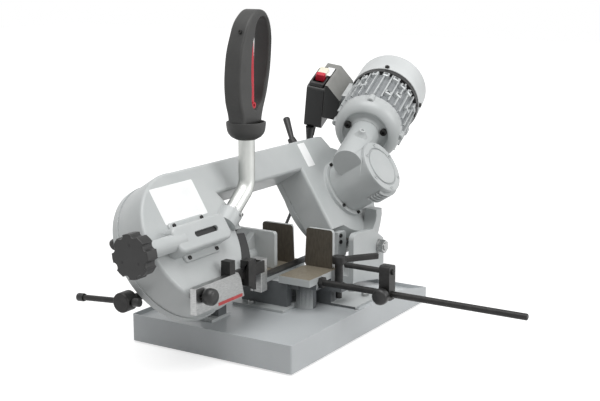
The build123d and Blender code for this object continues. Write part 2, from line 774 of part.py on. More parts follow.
# Bow: idler drum, arm, column and drive drum in one casting, open at the back
tube_run = Vector(tube_x - tube_foot_x, 0, tube_bend_z - tube_foot_z).normalized()
tube_foot = Vector(tube_foot_x, tube_y, tube_foot_z)
ear_outline = [(-18, 0), (-18, 24), (0, 36), (10, 48), (13, 60), (11, 72), (36, 72), (37, 58), (31, 39),
               (22, 21), (18, 0)]
with BuildPart() as bow:
    with BuildSketch(head_plane.offset(casting_back)) as bow_outline:
        with Locations((idler_x, wheel_v)):
            Circle(drum_radius)
        with Locations(((idler_x + drive_x) / 2, (arm_low + arm_top) / 2)):
            Rectangle(drive_x - idler_x, arm_top - arm_low)
        with Locations(((column_x + drive_x) / 2, (column_low + arm_top) / 2)):
            Rectangle(drive_x - column_x, arm_top - column_low)
        with BuildLine():
            Polyline(
                (drive_x, arm_top),
                (drive_x + 12, arm_top - 4),
                (drive_x + 30, arm_top - 38),
                (drive_x, arm_top - 38),
                close=True,
            )
        make_face()
    extrude(amount=casting_front - casting_back)
    with BuildSketch(head_plane.offset(casting_back)) as drive_ring:
        with Locations((drive_x, wheel_v)):
            Circle(drive_drum_radius)
    extrude(amount=drive_taper_start - casting_back)
    with BuildSketch(head_plane.offset(drive_taper_start)) as drive_cone:
        with Locations((drive_x, wheel_v)):
            Circle(drive_drum_radius)
    extrude(amount=casting_front - drive_taper_start, taper=drive_taper)
    with BuildSketch(head_plane.offset(drive_taper_start)) as gear_ring:
        with Locations((drive_x, wheel_v)):
            Circle(gear_ring_radius)
    extrude(amount=gear_ring_front - drive_taper_start)
    round_bar(tube_foot - tube_run * 20, tube_run, boss_radius, 28)
    with BuildSketch(Plane.XZ.offset(-front_ear_in)) as front_ear:
        with BuildLine():
            Polyline(*[(hinge_x + x, hinge_z + z) for x, z in ear_outline], close=True)
        make_face()
    extrude(amount=front_ear_width)
    round_bar((hinge_x, front_ear_out, hinge_z), (0, 1, 0), 20, front_ear_width)
    with BuildSketch(head_plane.offset(casting_back)) as idler_pocket:
        with Locations((idler_x, wheel_v)):
            Circle(drum_radius - casting_wall)
        with Locations(((idler_x + drive_x) / 2, (arm_low + arm_top) / 2)):
            Rectangle(drive_x - idler_x, arm_top - arm_low - 2 * casting_wall)
    extrude(amount=pocket_front - casting_back, mode=Mode.SUBTRACT)
    with BuildSketch(head_plane.offset(casting_back)) as drive_pocket:
        with Locations((drive_x, wheel_v)):
            Circle(drive_pocket_radius)
        with Locations(((column_x + drive_x + casting_wall) / 2, wheel_v + 30)):
            Rectangle(drive_x - column_x - casting_wall, 120)
    extrude(amount=drive_pocket_front - casting_back, mode=Mode.SUBTRACT)
    with BuildSketch(head_plane.offset(pocket_front)) as deep_pocket:
        with Locations((idler_x, wheel_v)):
            Circle(drum_radius - casting_wall)
        with Locations((idler_x, column_low + drum_radius)):
            Rectangle(2 * drum_radius, 2 * drum_radius, mode=Mode.INTERSECT)
    extrude(amount=casting_front - casting_wall - pocket_front, mode=Mode.SUBTRACT)
    with BuildSketch(head_plane.offset(casting_back)) as blade_gates:
        with Locations((idler_x + 92, 0)):
            Rectangle(86, 32)
        with Locations((drive_x - 48, 0)):
            Rectangle(58, 26)
    extrude(amount=pocket_front - casting_back, mode=Mode.SUBTRACT)
    with BuildSketch(head_plane.offset(casting_back)) as blade_window:
        with Locations((idler_x, wheel_v)):
            Circle(drum_radius + cover_rim)
            Circle(wheel_radius + window_gap, mode=Mode.SUBTRACT)
        with BuildLine():
            Polyline(
                (idler_x, wheel_v),
                (idler_x + 80, wheel_v - 150),
                (idler_x + 170, wheel_v - 150),
                (idler_x + 170, wheel_v - 14),
                close=True,
            )
        make_face(mode=Mode.INTERSECT)
    extrude(amount=casting_front - casting_back, mode=Mode.SUBTRACT)
    with BuildSketch(head_plane.offset(pocket_front - 2)) as axle_slot:
        with Locations((idler_x + tension_travel / 2, wheel_v)):
            SlotCenterToCenter(tension_travel + 4, 2 * axle_radius + 3)
    extrude(amount=casting_front - pocket_front + 4, mode=Mode.SUBTRACT)
    with BuildSketch(head_plane.offset(drive_pocket_front - 2)) as shaft_hole:
        with Locations((drive_x, wheel_v)):
            Circle(shaft_radius + running_fit)
    extrude(amount=gear_ring_front - drive_pocket_front + 4, mode=Mode.SUBTRACT)
    block(bar_left_x - 6, -175, bar_back_y - 100, bar_back_y + free_gap, 80, bar_high + 4, Mode.SUBTRACT)
    block(clamp_block_x - 24, -150, bar_back_y - 100, guide_side_y + free_gap, 80, bar_high + 14,
          Mode.SUBTRACT)
    block(hinge_x - 16, hinge_x + 16, -10, rear_ear_out, hinge_z - 21, hinge_z - 7)
    round_bar((hinge_x, rear_ear_in, hinge_z), (0, 1, 0), 18, rear_ear_width)
    round_bar((hinge_x, front_ear_out, hinge_z), (0, 1, 0), hinge_pin_radius + running_fit, front_ear_width,
              Mode.SUBTRACT)
    round_bar((hinge_x, rear_ear_in, hinge_z), (0, 1, 0), hinge_pin_radius + running_fit, rear_ear_width,
              Mode.SUBTRACT)
    round_bar(tube_foot - tube_run * tube_seat, tube_run, tube_radius, 40, Mode.SUBTRACT)
    round_bar((clamp_x, bar_back_y, clamp_z), (0, 1, 0), clamp_stud_radius + running_fit, 20, Mode.SUBTRACT)
bow.part.label = "bow"
export_step(bow.part, "parts/bow.step")

# Sheet cover over the back of the wheels and its knobs
cover_back = casting_back - cover_depth
with BuildPart() as wheel_cover:
    with BuildSketch(head_plane.offset(cover_back)) as cover_outline:
        with Locations((idler_x, wheel_v)):
            Circle(drum_radius + cover_rim)
        with Locations((drive_x, wheel_v)):
            Circle(drive_drum_radius + cover_rim)
        with Locations(((idler_x + drive_x) / 2, (arm_low + arm_top) / 2)):
            Rectangle(drive_x - idler_x, arm_top - arm_low)
        with Locations(((column_x + drive_x) / 2, (wheel_v + arm_top) / 2)):
            Rectangle(drive_x - column_x, arm_top - wheel_v)
    extrude(amount=cover_depth)
    with BuildSketch(head_plane.offset(cover_back + cover_wall)) as cover_inside:
        with Locations((idler_x, wheel_v)):
            Circle(drum_radius - casting_wall)
        with Locations((drive_x, wheel_v)):
            Circle(drive_pocket_radius)
        with Locations(((idler_x + drive_x) / 2, (arm_low + arm_top) / 2)):
            Rectangle(drive_x - idler_x, arm_top - arm_low - 2 * casting_wall)
    extrude(amount=cover_depth - cover_wall, mode=Mode.SUBTRACT)
    block(hinge_x - 22, hinge_x + 22, -40, rear_ear_out + 8, hinge_z - 40, hinge_z + 23, Mode.SUBTRACT)
wheel_cover.part.label = "wheel_cover"
export_step(wheel_cover.part, "parts/wheel_cover.step")

cover_knob_radius = 10.0
cover_knob_length = 16.0
rim_reach = drum_radius - 12
knob_turn = radians(155)
cover_knob_places = [
    (idler_x + rim_reach * cos(knob_turn), wheel_v + rim_reach * sin(knob_turn)),
    (-30, (arm_low + arm_top) / 2),
    (drive_x + 80, wheel_v + 40),
]
with BuildPart() as cover_knobs:
    for x, v in cover_knob_places:
        round_bar(head_point(x, v, cover_back), outward * -1, 4, 6)
        round_bar(head_point(x, v, cover_back - 6), outward * -1, cover_knob_radius, cover_knob_length - 6)
cover_knobs.part.label = "cover_knobs"
export_step(cover_knobs.part, "parts/cover_knobs.step")

# Clamping lever on top of the arm
cover_lever_x = 205.0
cover_lever_w = -14.0
lever_foot = head_point(cover_lever_x, arm_top + slide_gap, cover_lever_w)
lever_lean = (upward * 0.94 + along * 0.34).normalized()
with BuildPart() as cover_lever:
    with Locations(Plane(origin=lever_foot, z_dir=upward)):
        Cone(11, 8, 22, align=bottom)
    with Locations(Plane(origin=lever_foot + upward * 14, z_dir=lever_lean)):
        Cone(5, 7.5, 58, align=bottom)
    fillet(cover_lever.edges().filter_by(GeomType.CIRCLE).sort_by(Axis.Z)[-1], radius=4)
cover_lever.part.label = "cover_lever"
export_step(cover_lever.part, "parts/cover_lever.step")

# Wheels: rim with a lip behind the blade, web and hub
wheel_web = 7.0
rim_depth = 12.0
hub_outer = 24.0
hub_half = 12.0


def wheel_section(bore):
    """Half section of a wheel: radius across, wheel axis up."""
    half = wheel_width / 2
    lip_start = blade_width / 2 + 0.5
    with BuildLine() as section:
        Polyline(
            (bore, -hub_half),
            (hub_outer, -hub_half),
            (hub_outer, -wheel_web / 2),
            (wheel_radius - rim_depth, -wheel_web / 2),
            (wheel_radius - rim_depth, -half),
            (wheel_radius, -half),
            (wheel_radius, lip_start),
            (wheel_radius + wheel_lip, lip_start),
            (wheel_radius + wheel_lip, half),
            (wheel_radius - rim_depth, half),
            (wheel_radius - rim_depth, wheel_web / 2),
            (hub_outer, wheel_web / 2),
            (hub_outer, hub_half),
            (bore, hub_half),
            close=True,
        )
    return section.line


def wheel_plane(x):
    """A half-section plane through a wheel's axis."""
    return Plane(origin=head_point(x, wheel_v, 0), x_dir=along, z_dir=upward * -1)


with BuildPart() as idler_wheel:
    with BuildSketch(wheel_plane(idler_x)) as idler_section:
        add(wheel_section(axle_radius + running_fit))
        make_face()
    revolve(axis=Axis(head_point(idler_x, wheel_v, 0), outward))
idler_wheel.part.label = "idler_wheel"
export_step(idler_wheel.part, "parts/idler_wheel.step")

with BuildPart() as drive_wheel:
    with BuildSketch(wheel_plane(drive_x)) as drive_section:
        add(wheel_section(shaft_radius))
        make_face()
    revolve(axis=Axis(head_point(drive_x, wheel_v, 0), outward))
drive_wheel.part.label = "drive_wheel"
export_step(drive_wheel.part, "parts/drive_wheel.step")

# Blade: a closed band round both wheels, turned upright between the guides
twist_end = 90.0 - head_tilt
left_flat = left_guide_x - left_guide_length / 2 - 4
right_flat = right_guide_x + right_guide_length / 2 + 4


def blade_section(x, turn):
    """The blade's cross-section, turned from the wheels' plane towards upright."""
    across = outward * cos(radians(turn)) + upward * sin(radians(turn))
    with BuildSketch(Plane(origin=head_point(x, 0, 0), x_dir=across, z_dir=along)) as band:
        Rectangle(blade_width, blade_thickness)
    return band.sketch


twist_steps = 8


def twist_share(k):
    """Share of the whole twist after k steps, starting and ending gently."""
    part_way = k / twist_steps
    return part_way * part_way * (3 - 2 * part_way)


idler_twist = []
drive_twist = []
for k in range(twist_steps + 1):
    idler_twist.append(blade_section(idler_x + (left_flat - idler_x) * k / twist_steps,
                                     twist_end * twist_share(k)))
    drive_twist.append(blade_section(right_flat + (drive_x - right_flat) * k / twist_steps,
                                     twist_end * (1 - twist_share(k))))
with BuildPart() as blade:
    loft(idler_twist, ruled=True)
    extrude(blade_section(left_flat, twist_end), amount=right_flat - left_flat)
    loft(drive_twist, ruled=True)
    with BuildSketch(head_plane.offset(-blade_width / 2)) as blade_loop:
        with Locations((idler_x, wheel_v), (drive_x, wheel_v)):
            Circle(blade_bend + blade_thickness / 2)
        with Locations(((idler_x + drive_x) / 2, wheel_v)):
            Rectangle(drive_x - idler_x, 2 * blade_bend + blade_thickness)
        with Locations((idler_x, wheel_v), (drive_x, wheel_v)):
            Circle(blade_bend - blade_thickness / 2, mode=Mode.SUBTRACT)
        with Locations(((idler_x + drive_x) / 2, wheel_v - blade_thickness)):
            Rectangle(drive_x - idler_x, 2 * blade_bend + blade_thickness, mode=Mode.SUBTRACT)
    extrude(amount=blade_width)
blade.part.label = "blade"
export_step(blade.part, "parts/blade.step")

# Blade tension unit on the face of the drum
screw_line = head_point(0, wheel_v, tension_w)
pocket_height = housing_height - 2 * housing_wall
carriage_length = 62.0
carriage_x = idler_x - 2
sleeve_reach = 103.0
with BuildPart() as tension_housing:
    with BuildSketch(head_plane.offset(casting_front)) as housing_flange:
        with Locations((housing_x, wheel_v)):
            RectangleRounded(flange_length, flange_height, 8)
    extrude(amount=flange_thickness)
    with BuildSketch(head_plane.offset(casting_front)) as housing_block:
        with Locations((housing_x - 6, wheel_v)):
            RectangleRounded(housing_length, housing_height, 14)
    extrude(amount=housing_front - casting_front)
    round_bar(head_point(sleeve_x, wheel_v, tension_w), along, tension_sleeve_radius, sleeve_reach)
    with BuildSketch(head_plane.offset(casting_front)) as housing_pocket:
        with Locations((housing_x, wheel_v)):
            RectangleRounded(housing_length - 34, pocket_height, 4)
    extrude(amount=housing_front - casting_front - housing_face, mode=Mode.SUBTRACT)
    with BuildSketch(head_plane.offset(casting_front)) as housing_window:
        with Locations((housing_x + 4, wheel_v)):
            SlotOverall(64, 10)
    extrude(amount=housing_front - casting_front, mode=Mode.SUBTRACT)
    tension_bore = tension_screw_radius + running_fit
    round_bar(head_point(sleeve_x, wheel_v, tension_w), along, tension_bore, sleeve_reach + 10, Mode.SUBTRACT)
tension_housing.part.label = "tension_housing"
export_step(tension_housing.part, "parts/tension_housing.step")

with BuildPart() as tension_carriage:
    with BuildSketch(head_plane.offset(casting_front + slide_gap)) as carriage_block:
        with Locations((carriage_x, wheel_v)):
            Rectangle(carriage_length, pocket_height - 2 * slide_gap)
    extrude(amount=housing_front - casting_front - housing_face - 2 * slide_gap)
    round_bar(head_point(idler_x, wheel_v, -hub_half - 6), outward, axle_radius,
              casting_front + slide_gap + hub_half + 6)
    round_bar(head_point(idler_x, wheel_v, hub_half + free_gap), outward, axle_radius + 1.2,
              casting_front - hub_half - free_gap)
    round_bar(head_point(idler_x, wheel_v, -hub_half - free_gap), outward * -1, axle_radius + 3, 5)
    round_bar(head_point(carriage_x - carriage_length / 2, wheel_v, tension_w), along,
              tension_screw_radius + free_gap, carriage_length, Mode.SUBTRACT)
tension_carriage.part.label = "tension_carriage"
export_step(tension_carriage.part, "parts/tension_carriage.step")

notch_radius = 7.0
notch_out = 2.0
with BuildPart() as tension_knob:
    round_bar(head_point(star_x, wheel_v, tension_w), along, star_radius, star_length)
    for k in range(8):
        turn = radians(45 * k)
        reach = star_radius + notch_out
        round_bar(head_point(star_x, wheel_v + reach * cos(turn), tension_w + reach * sin(turn)), along,
                  notch_radius, star_length, Mode.SUBTRACT)
    round_bar(head_point(star_x + star_length, wheel_v, tension_w), along, star_neck_radius,
              sleeve_x - star_x - star_length - free_gap)
    round_bar(head_point(star_x + star_length, wheel_v, tension_w), along, tension_screw_radius,
              carriage_x - 4 - star_x - star_length)
tension_knob.part.label = "tension_knob"
export_step(tension_knob.part, "parts/tension_knob.step")

# Left blade guide on its sliding bar, with guard and clamp knob
with BuildPart() as guide_bar:
    with BuildSketch(Plane.XZ.offset(-bar_back_y)) as bar_face:
        with BuildLine():
            Polyline(
                (bar_left_x, bar_low),
                (bar_right_x + 10, bar_low),
                (bar_right_x, bar_high - 12),
                (bar_right_x - 8, bar_high),
                (bar_left_x, bar_high),
                close=True,
            )
        make_face()
        with Locations((clamp_x + clamp_slot_shift, clamp_z)):
            SlotOverall(clamp_slot_length, 2 * clamp_stud_radius + 1, mode=Mode.SUBTRACT)
    extrude(amount=bar_thickness)
guide_bar.part.label = "guide_bar"
export_step(guide_bar.part, "parts/guide_bar.step")

guide_left_x = left_guide_x - left_guide_length / 2
clamp_front_y = bar_back_y - bar_thickness
with BuildPart() as guide_guard:
    with BuildSketch(Plane.XZ.offset(-guide_side_y)) as guard_side:
        with BuildLine():
            Polyline(
                (guard_left_x, guard_low + guard_slant),
                (guard_right_x, guard_low),
                (guard_right_x, guard_high),
                (guard_left_x, guard_high),
                close=True,
            )
        make_face()
    extrude(amount=guard_thickness)
    link_right_x = guide_left_x + guard_link_lap
    block(guard_right_x, link_right_x, guide_side_y - guard_link_thickness, guide_side_y, guard_link_low,
          guard_link_high)
    block(clamp_block_x, clamp_block_x + clamp_block_width, clamp_front_y, guide_side_y - 1, bar_high,
          bar_high + clamp_block_height)
    block(clamp_block_x, clamp_block_x + clamp_block_width, bar_back_y, guide_side_y - 1, guard_neck_low,
          bar_high)
    block(clamp_block_x, guard_left_x, bar_back_y, guide_side_y - 1, guard_neck_low, guard_neck_high)
guide_guard.part.label = "guide_guard"
export_step(guide_guard.part, "parts/guide_guard.step")

with BuildPart() as left_guide:
    block(guide_left_x, guide_left_x + left_guide_length, guide_side_y, guide_rear_y, guide_low, guide_top)
    block(guide_left_x, guide_left_x + left_guide_length, blade_y - blade_slot / 2, blade_y + blade_slot / 2,
          guide_low, blade_z + blade_width / 2 + 0.5, Mode.SUBTRACT)
    with Locations(Plane(origin=(left_guide_x, guide_rear_y, blade_z), z_dir=(0, 1, 0))):
        Cylinder(5, 3, align=bottom)
left_guide.part.label = "left_guide"
export_step(left_guide.part, "parts/left_guide.step")

with BuildPart() as guide_knob:
    face_y = bar_back_y - bar_thickness - 1
    round_bar((clamp_x, face_y - clamp_knob_length, clamp_z), (0, 1, 0), clamp_knob_radius, clamp_knob_length)
    chamfer(guide_knob.edges().filter_by(GeomType.CIRCLE), length=2)
    round_bar((clamp_x, face_y, clamp_z), (0, 1, 0), clamp_stud_radius, bar_thickness + 16)
guide_knob.part.label = "guide_knob"
export_step(guide_knob.part, "parts/guide_knob.step")

# Right blade guide, seated under the drive drum
with BuildPart() as right_guide:
    guide_left = right_guide_x - right_guide_length / 2
    guide_right = right_guide_x + right_guide_length / 2
    block(guide_left, guide_right, guide_side_y - 5, -6, 104, 156)
    round_bar(head_point(drive_x, wheel_v, -90), outward, drive_drum_radius, 200, Mode.SUBTRACT)
    with BuildSketch(head_plane.offset(casting_back)) as column_seat:
        with Locations(((column_x + drive_x) / 2, (column_low + arm_top) / 2)):
            Rectangle(drive_x - column_x, arm_top - column_low)
    extrude(amount=casting_front - casting_back, mode=Mode.SUBTRACT)
    block(guide_left, guide_right, blade_y - blade_slot / 2, blade_y + blade_slot / 2, 100,
          blade_z + blade_width / 2 + 0.5, Mode.SUBTRACT)
right_guide.part.label = "right_guide"
export_step(right_guide.part, "parts/right_guide.step")

# Gearbox: housing with a worm tube across it, cover with screws
gear_ring_seat = head_plane.offset(gear_ring_front)
with BuildPart() as gearbox_housing:
    with BuildSketch(gear_ring_seat) as gear_disc:
        with Locations((drive_x, wheel_v)):
            Circle(gear_radius)
    extrude(amount=gear_front - gear_ring_front)
    round_bar(motor_point(worm_tube_start, 0, 0), motor_line, worm_tube_radius, flange_s - worm_tube_start)
    with BuildSketch(head_plane.offset(gear_ring_front + gear_wall)) as gear_room:
        with Locations((drive_x, wheel_v)):
            Circle(gear_radius - gear_wall)
    extrude(amount=gear_front - gear_ring_front - gear_wall, mode=Mode.SUBTRACT)
    round_bar(motor_point(worm_tube_start + gear_wall, 0, 0), motor_line, worm_tube_bore,
              flange_s - worm_tube_start, Mode.SUBTRACT)
    with BuildSketch(gear_ring_seat) as gear_bore:
        with Locations((drive_x, wheel_v)):
            Circle(shaft_radius + running_fit)
    extrude(amount=gear_wall, mode=Mode.SUBTRACT)
gearbox_housing.part.label = "gearbox_housing"
export_step(gearbox_housing.part, "parts/gearbox_housing.step")

with BuildPart() as gearbox_cover:
    with BuildSketch(head_plane.offset(gear_front)) as cover_disc:
        with Locations((drive_x, wheel_v)):
            Circle(gear_radius + 1)
    extrude(amount=gear_cover_thickness)
    with BuildSketch(head_plane.offset(gear_front + gear_cover_thickness - 3)) as cover_recess:
        with Locations((drive_x, wheel_v)):
            Circle(gear_radius - 16)
    extrude(amount=3, mode=Mode.SUBTRACT)
gearbox_cover.part.label = "gearbox_cover"
export_step(gearbox_cover.part, "parts/gearbox_cover.step")

# Socket screws of the gearbox cover and of the tension unit
screw_radius = 4.5
screw_head = 5.0
screw_seats = [(housing_x + a * 38, wheel_v + b * 30, casting_front + flange_thickness)
               for a in (-1, 1) for b in (-1, 1)]
for k in range(6):
    turn = radians(60 * k + 20)
    reach = gear_radius - 6
    seat_x = drive_x + reach * cos(turn)
    seat_v = wheel_v + reach * sin(turn)
    screw_seats.append((seat_x, seat_v, gear_front + gear_cover_thickness))
with BuildPart() as head_screws:
    for x, v, w in screw_seats:
        round_bar(head_point(x, v, w), outward, screw_radius, screw_head)
        round_bar(head_point(x, v, w + screw_head - 3), outward, 2.2, 3, Mode.SUBTRACT)
head_screws.part.label = "head_screws"
export_step(head_screws.part, "parts/head_screws.step")

# Worm wheel on the drive shaft
shaft_end = gear_front - 4
with BuildPart() as worm_wheel:
    round_bar(head_point(drive_x, wheel_v, -hub_half - 4), outward, shaft_radius, shaft_end + hub_half + 4)
    round_bar(head_point(drive_x, wheel_v, worm_w - worm_wheel_width / 2), outward,
              worm_offset - worm_radius - free_gap, worm_wheel_width)
    round_bar(head_point(drive_x, wheel_v, -hub_half - 4), outward, shaft_radius + 4, 4)
worm_wheel.part.label = "worm_wheel"
export_step(worm_wheel.part, "parts/worm_wheel.step")

# Motor: worm on the shaft, rotor, fan, flange, finned body and fan cover
with BuildPart() as worm_shaft:
    round_bar(motor_point(worm_tube_start + gear_wall + 2, 0, 0), motor_line, worm_radius, 62)
    round_bar(motor_point(30, 0, 0), motor_line, motor_shaft_radius, fan_s + fan_width + 6 - 30)
worm_shaft.part.label = "worm_shaft"
export_step(worm_shaft.part, "parts/worm_shaft.step")

with BuildPart() as rotor:
    rotor_length = stator_end_s - stator_s - 20
    round_bar(motor_point(stator_s + 8, 0, 0), motor_line, stator_bore - rotor_gap, rotor_length)
    round_bar(motor_point(stator_s + 8, 0, 0), motor_line, motor_shaft_radius, stator_end_s - stator_s,
              Mode.SUBTRACT)
rotor.part.label = "rotor"
export_step(rotor.part, "parts/rotor.step")

with BuildPart() as cooling_fan:
    round_bar(motor_point(fan_s, 0, 0), motor_line, 20, fan_width)
    round_bar(motor_point(fan_s + fan_width - 3, 0, 0), motor_line, fan_radius, 3)
    with BuildSketch(motor_plane(fan_s)) as fan_blades:
        with PolarLocations(fan_radius / 2 + 8, 8):
            Rectangle(fan_radius - 16, 3)
    extrude(amount=fan_width)
    round_bar(motor_point(fan_s, 0, 0), motor_line, motor_shaft_radius, fan_width, Mode.SUBTRACT)
cooling_fan.part.label = "cooling_fan"
export_step(cooling_fan.part, "parts/cooling_fan.step")

with BuildPart() as motor_flange:
    round_bar(motor_point(flange_s, 0, 0), motor_line, flange_radius, stator_s - flange_s)
    with BuildSketch(motor_plane(flange_s)) as flange_ears:
        with PolarLocations(flange_radius, 4):
            Circle(8)
    extrude(amount=bell_s - flange_s + 4)
    round_bar(motor_point(bell_s, 0, 0), motor_line, flange_radius - 8, stator_s - bell_s, Mode.SUBTRACT)
    round_bar(motor_point(flange_s, 0, 0), motor_line, motor_shaft_radius + free_gap, 20, Mode.SUBTRACT)
motor_flange.part.label = "motor_flange"
export_step(motor_flange.part, "parts/motor_flange.step")

fin_reach = stator_radius + fin_height
with BuildPart() as motor_body:
    round_bar(motor_point(stator_s, 0, 0), motor_line, stator_radius, stator_end_s - stator_s)
    with BuildSketch(motor_plane(stator_s)) as fins:
        with PolarLocations(stator_radius + fin_height / 2 - 1, fin_count):
            Rectangle(fin_height + 2, fin_width)
    extrude(amount=stator_end_s - stator_s)
    with BuildSketch(box_plane(stator_radius - 10)) as box_pad:
        Rectangle(pad_length, terminal_width)
    extrude(amount=pad_reach - stator_radius + 10)
    round_bar(motor_point(stator_end_s - 6, 0, 0), motor_line, shroud_radius - shroud_wall,
              shroud_s - stator_end_s + 10)
    bore_length = stator_end_s - stator_s - 6
    round_bar(motor_point(stator_s, 0, 0), motor_line, stator_bore, bore_length, Mode.SUBTRACT)
    round_bar(motor_point(stator_s, 0, 0), motor_line, motor_shaft_radius + free_gap, 160, Mode.SUBTRACT)
motor_body.part.label = "motor_body"
export_step(motor_body.part, "parts/motor_body.step")

vent_count = 16
with BuildPart() as fan_cover:
    round_bar(motor_point(shroud_s, 0, 0), motor_line, shroud_radius, shroud_end_s - shroud_s)
    fillet(fan_cover.edges().filter_by(GeomType.CIRCLE).sort_by(Axis.X)[-1], radius=9)
    round_bar(motor_point(shroud_s, 0, 0), motor_line, shroud_radius - shroud_wall,
              shroud_end_s - shroud_s - shroud_wall - 8, Mode.SUBTRACT)
    round_bar(motor_point(shroud_s, 0, 0), motor_line, shroud_radius - shroud_wall - 9,
              shroud_end_s - shroud_s - shroud_wall, Mode.SUBTRACT)
    with BuildSketch(motor_plane(shroud_end_s - 6)) as vents:
        with PolarLocations(42, vent_count):
            SlotOverall(30, 7)
    extrude(amount=12, mode=Mode.SUBTRACT)
fan_cover.part.label = "fan_cover"
export_step(fan_cover.part, "parts/fan_cover.step")

# Terminal box on the motor and switch box beside it
switch_end_s = box_s + switch_length / 2 + free_gap
with BuildPart() as terminal_box:
    terminal_floor = Plane(origin=motor_point(0, 0, terminal_low), x_dir=motor_line, z_dir=box_up)
    with BuildSketch(terminal_floor) as terminal_plan:
        with BuildLine():
            Polyline(
                (terminal_start_s, pad_reach),
                (terminal_end_s, pad_reach),
                (terminal_end_s, terminal_wing),
                (switch_end_s, terminal_wing),
                (switch_end_s, terminal_reach),
                (terminal_start_s, terminal_reach),
                close=True,
            )
        make_face()
    extrude(amount=terminal_high - terminal_low)
    shoulder_plane = Plane(origin=motor_point(0, 0, 0), x_dir=box_side, z_dir=motor_line)
    with BuildSketch(shoulder_plane) as terminal_shoulder:
        with BuildLine():
            Polyline(
                (pad_reach - 1, terminal_high - 2 * terminal_slope),
                (pad_reach + 2 * terminal_slope, terminal_high + 1),
                (pad_reach - 1, terminal_high + 1),
                close=True,
            )
        make_face()
    extrude(amount=terminal_end_s + 10, mode=Mode.SUBTRACT)
terminal_box.part.label = "terminal_box"
export_step(terminal_box.part, "parts/terminal_box.step")

switch_middle = (switch_top + switch_low) / 2
button_side = (terminal_reach + switch_reach) / 2
button_gap = 30.0
bezel_top = switch_top + bezel_height
button_face = Plane(origin=motor_point(box_s, button_side, bezel_top), x_dir=motor_line, z_dir=box_up)
button_places = [(button_gap / 2, 0), (-button_gap / 2, 0)]
relief_side = button_side + 6
relief_s = (box_s - 16, box_s - 40)
with BuildPart() as switch_box:
    with BuildSketch(box_plane(terminal_reach)) as switch_outline:
        with Locations((0, switch_middle)):
            RectangleRounded(switch_length, switch_top - switch_low, 8)
    extrude(amount=switch_reach - terminal_reach)
    with BuildSketch(button_face) as bezel:
        RectangleRounded(bezel_length, bezel_width, 3)
    extrude(amount=-bezel_height)
    with BuildSketch(button_face) as button_wells:
        with Locations(*button_places):
            RectangleRounded(button_length + 2 * free_gap, button_width + 2 * free_gap, 4 + free_gap)
    extrude(amount=-button_depth, mode=Mode.SUBTRACT)
switch_box.part.label = "switch_box"
export_step(switch_box.part, "parts/switch_box.step")


def button(place):
    """A push button standing in its well."""
    with BuildSketch(button_face.offset(-button_depth / 2)) as cap:
        with Locations(place):
            RectangleRounded(button_length, button_width, 4)
    return cap.sketch


with BuildPart() as on_button:
    extrude(button(button_places[0]), amount=button_depth / 2 + button_height)
on_button.part.label = "on_button"
export_step(on_button.part, "parts/on_button.step")

with BuildPart() as off_button:
    extrude(button(button_places[1]), amount=button_depth / 2 + button_height)
off_button.part.label = "off_button"
export_step(off_button.part, "parts/off_button.step")

# Tapered strain reliefs under the switch box
relief_down = box_up * -1
with BuildPart() as cord_relief:
    for s, bore in zip(relief_s, (cord_diameter, cable_diameter)):
        foot = motor_point(s, relief_side, switch_low)
        with Locations(Plane(origin=foot, z_dir=relief_down)):
            Cone(9, cord_diameter / 2 + 1.5, relief_length, align=bottom)
        round_bar(foot, relief_down, bore / 2, relief_length, Mode.SUBTRACT)
cord_relief.part.label = "cord_relief"
export_step(cord_relief.part, "parts/cord_relief.step")

# Handle: bent tube, collar, two grip halves and the trigger
with BuildPart() as handle_tube:
    with BuildLine() as tube_line:
        FilletPolyline(
            tube_foot - tube_run * tube_seat,
            (tube_x, tube_y, tube_bend_z),
            (tube_x, tube_y, tube_top_z),
            radius=tube_bend_radius,
        )
    with BuildSketch(Plane(origin=tube_line.line @ 0, z_dir=tube_line.line % 0)) as tube_round:
        Circle(tube_radius)
        Circle(tube_radius - 2.5, mode=Mode.SUBTRACT)
    sweep()
handle_tube.part.label = "handle_tube"
export_step(handle_tube.part, "parts/handle_tube.step")

with BuildPart() as handle_collar:
    with Locations((tube_x - 1, tube_y, collar_low)):
        Cone(18, collar_radius - 2, 12, align=bottom)
    with Locations((tube_x - 1, tube_y, collar_low + 12)):
        Cone(collar_radius - 2, collar_radius, collar_high - collar_low - 12, align=bottom)
    collar_bore_length = tube_top_z - collar_low + 5
    round_bar((tube_x, tube_y, collar_low - 5), (0, 0, 1), tube_radius, collar_bore_length, Mode.SUBTRACT)
handle_collar.part.label = "handle_collar"
export_step(handle_collar.part, "parts/handle_collar.step")

grip_outer = [(-155, 0), (-165, 40), (-165, 98), (-152, 146), (-124, 188), (-92, 198), (-70, 180), (-64, 120),
              (-76, 58), (-97, 0)]
grip_inner = [(-119, 24), (-126, 62), (-126, 106), (-117, 150), (-102, 181), (-85, 183), (-75, 168),
              (-73, 120), (-86, 64), (-104, 26)]


def grip_loop():
    """The loop of the handle, seen from the side."""
    with BuildSketch(Plane.XZ.offset(-tube_y)) as loop:
        with BuildLine():
            Spline(*[(x, collar_high + z) for x, z in grip_outer])
            Line((grip_outer[-1][0], collar_high), (grip_outer[0][0], collar_high))
        make_face()
    with BuildSketch(Plane.XZ.offset(-tube_y)) as hand_hole:
        with BuildLine():
            Spline(*[(x, collar_high + z) for x, z in grip_inner], periodic=True)
        make_face()
    return loop.sketch - hand_hole.sketch


trigger_half = trigger_width / 2
groove_half = trigger_half + free_gap
with BuildPart() as grip_front:
    extrude(grip_loop(), amount=grip_half)
    block(trigger_x - trigger_thickness - 1, trigger_x + 2 * trigger_thickness, tube_y - groove_half,
          tube_y + groove_half, trigger_pivot_z - 7, trigger_top + 3, Mode.SUBTRACT)
grip_front.part.label = "grip_front"
export_step(grip_front.part, "parts/grip_front.step")

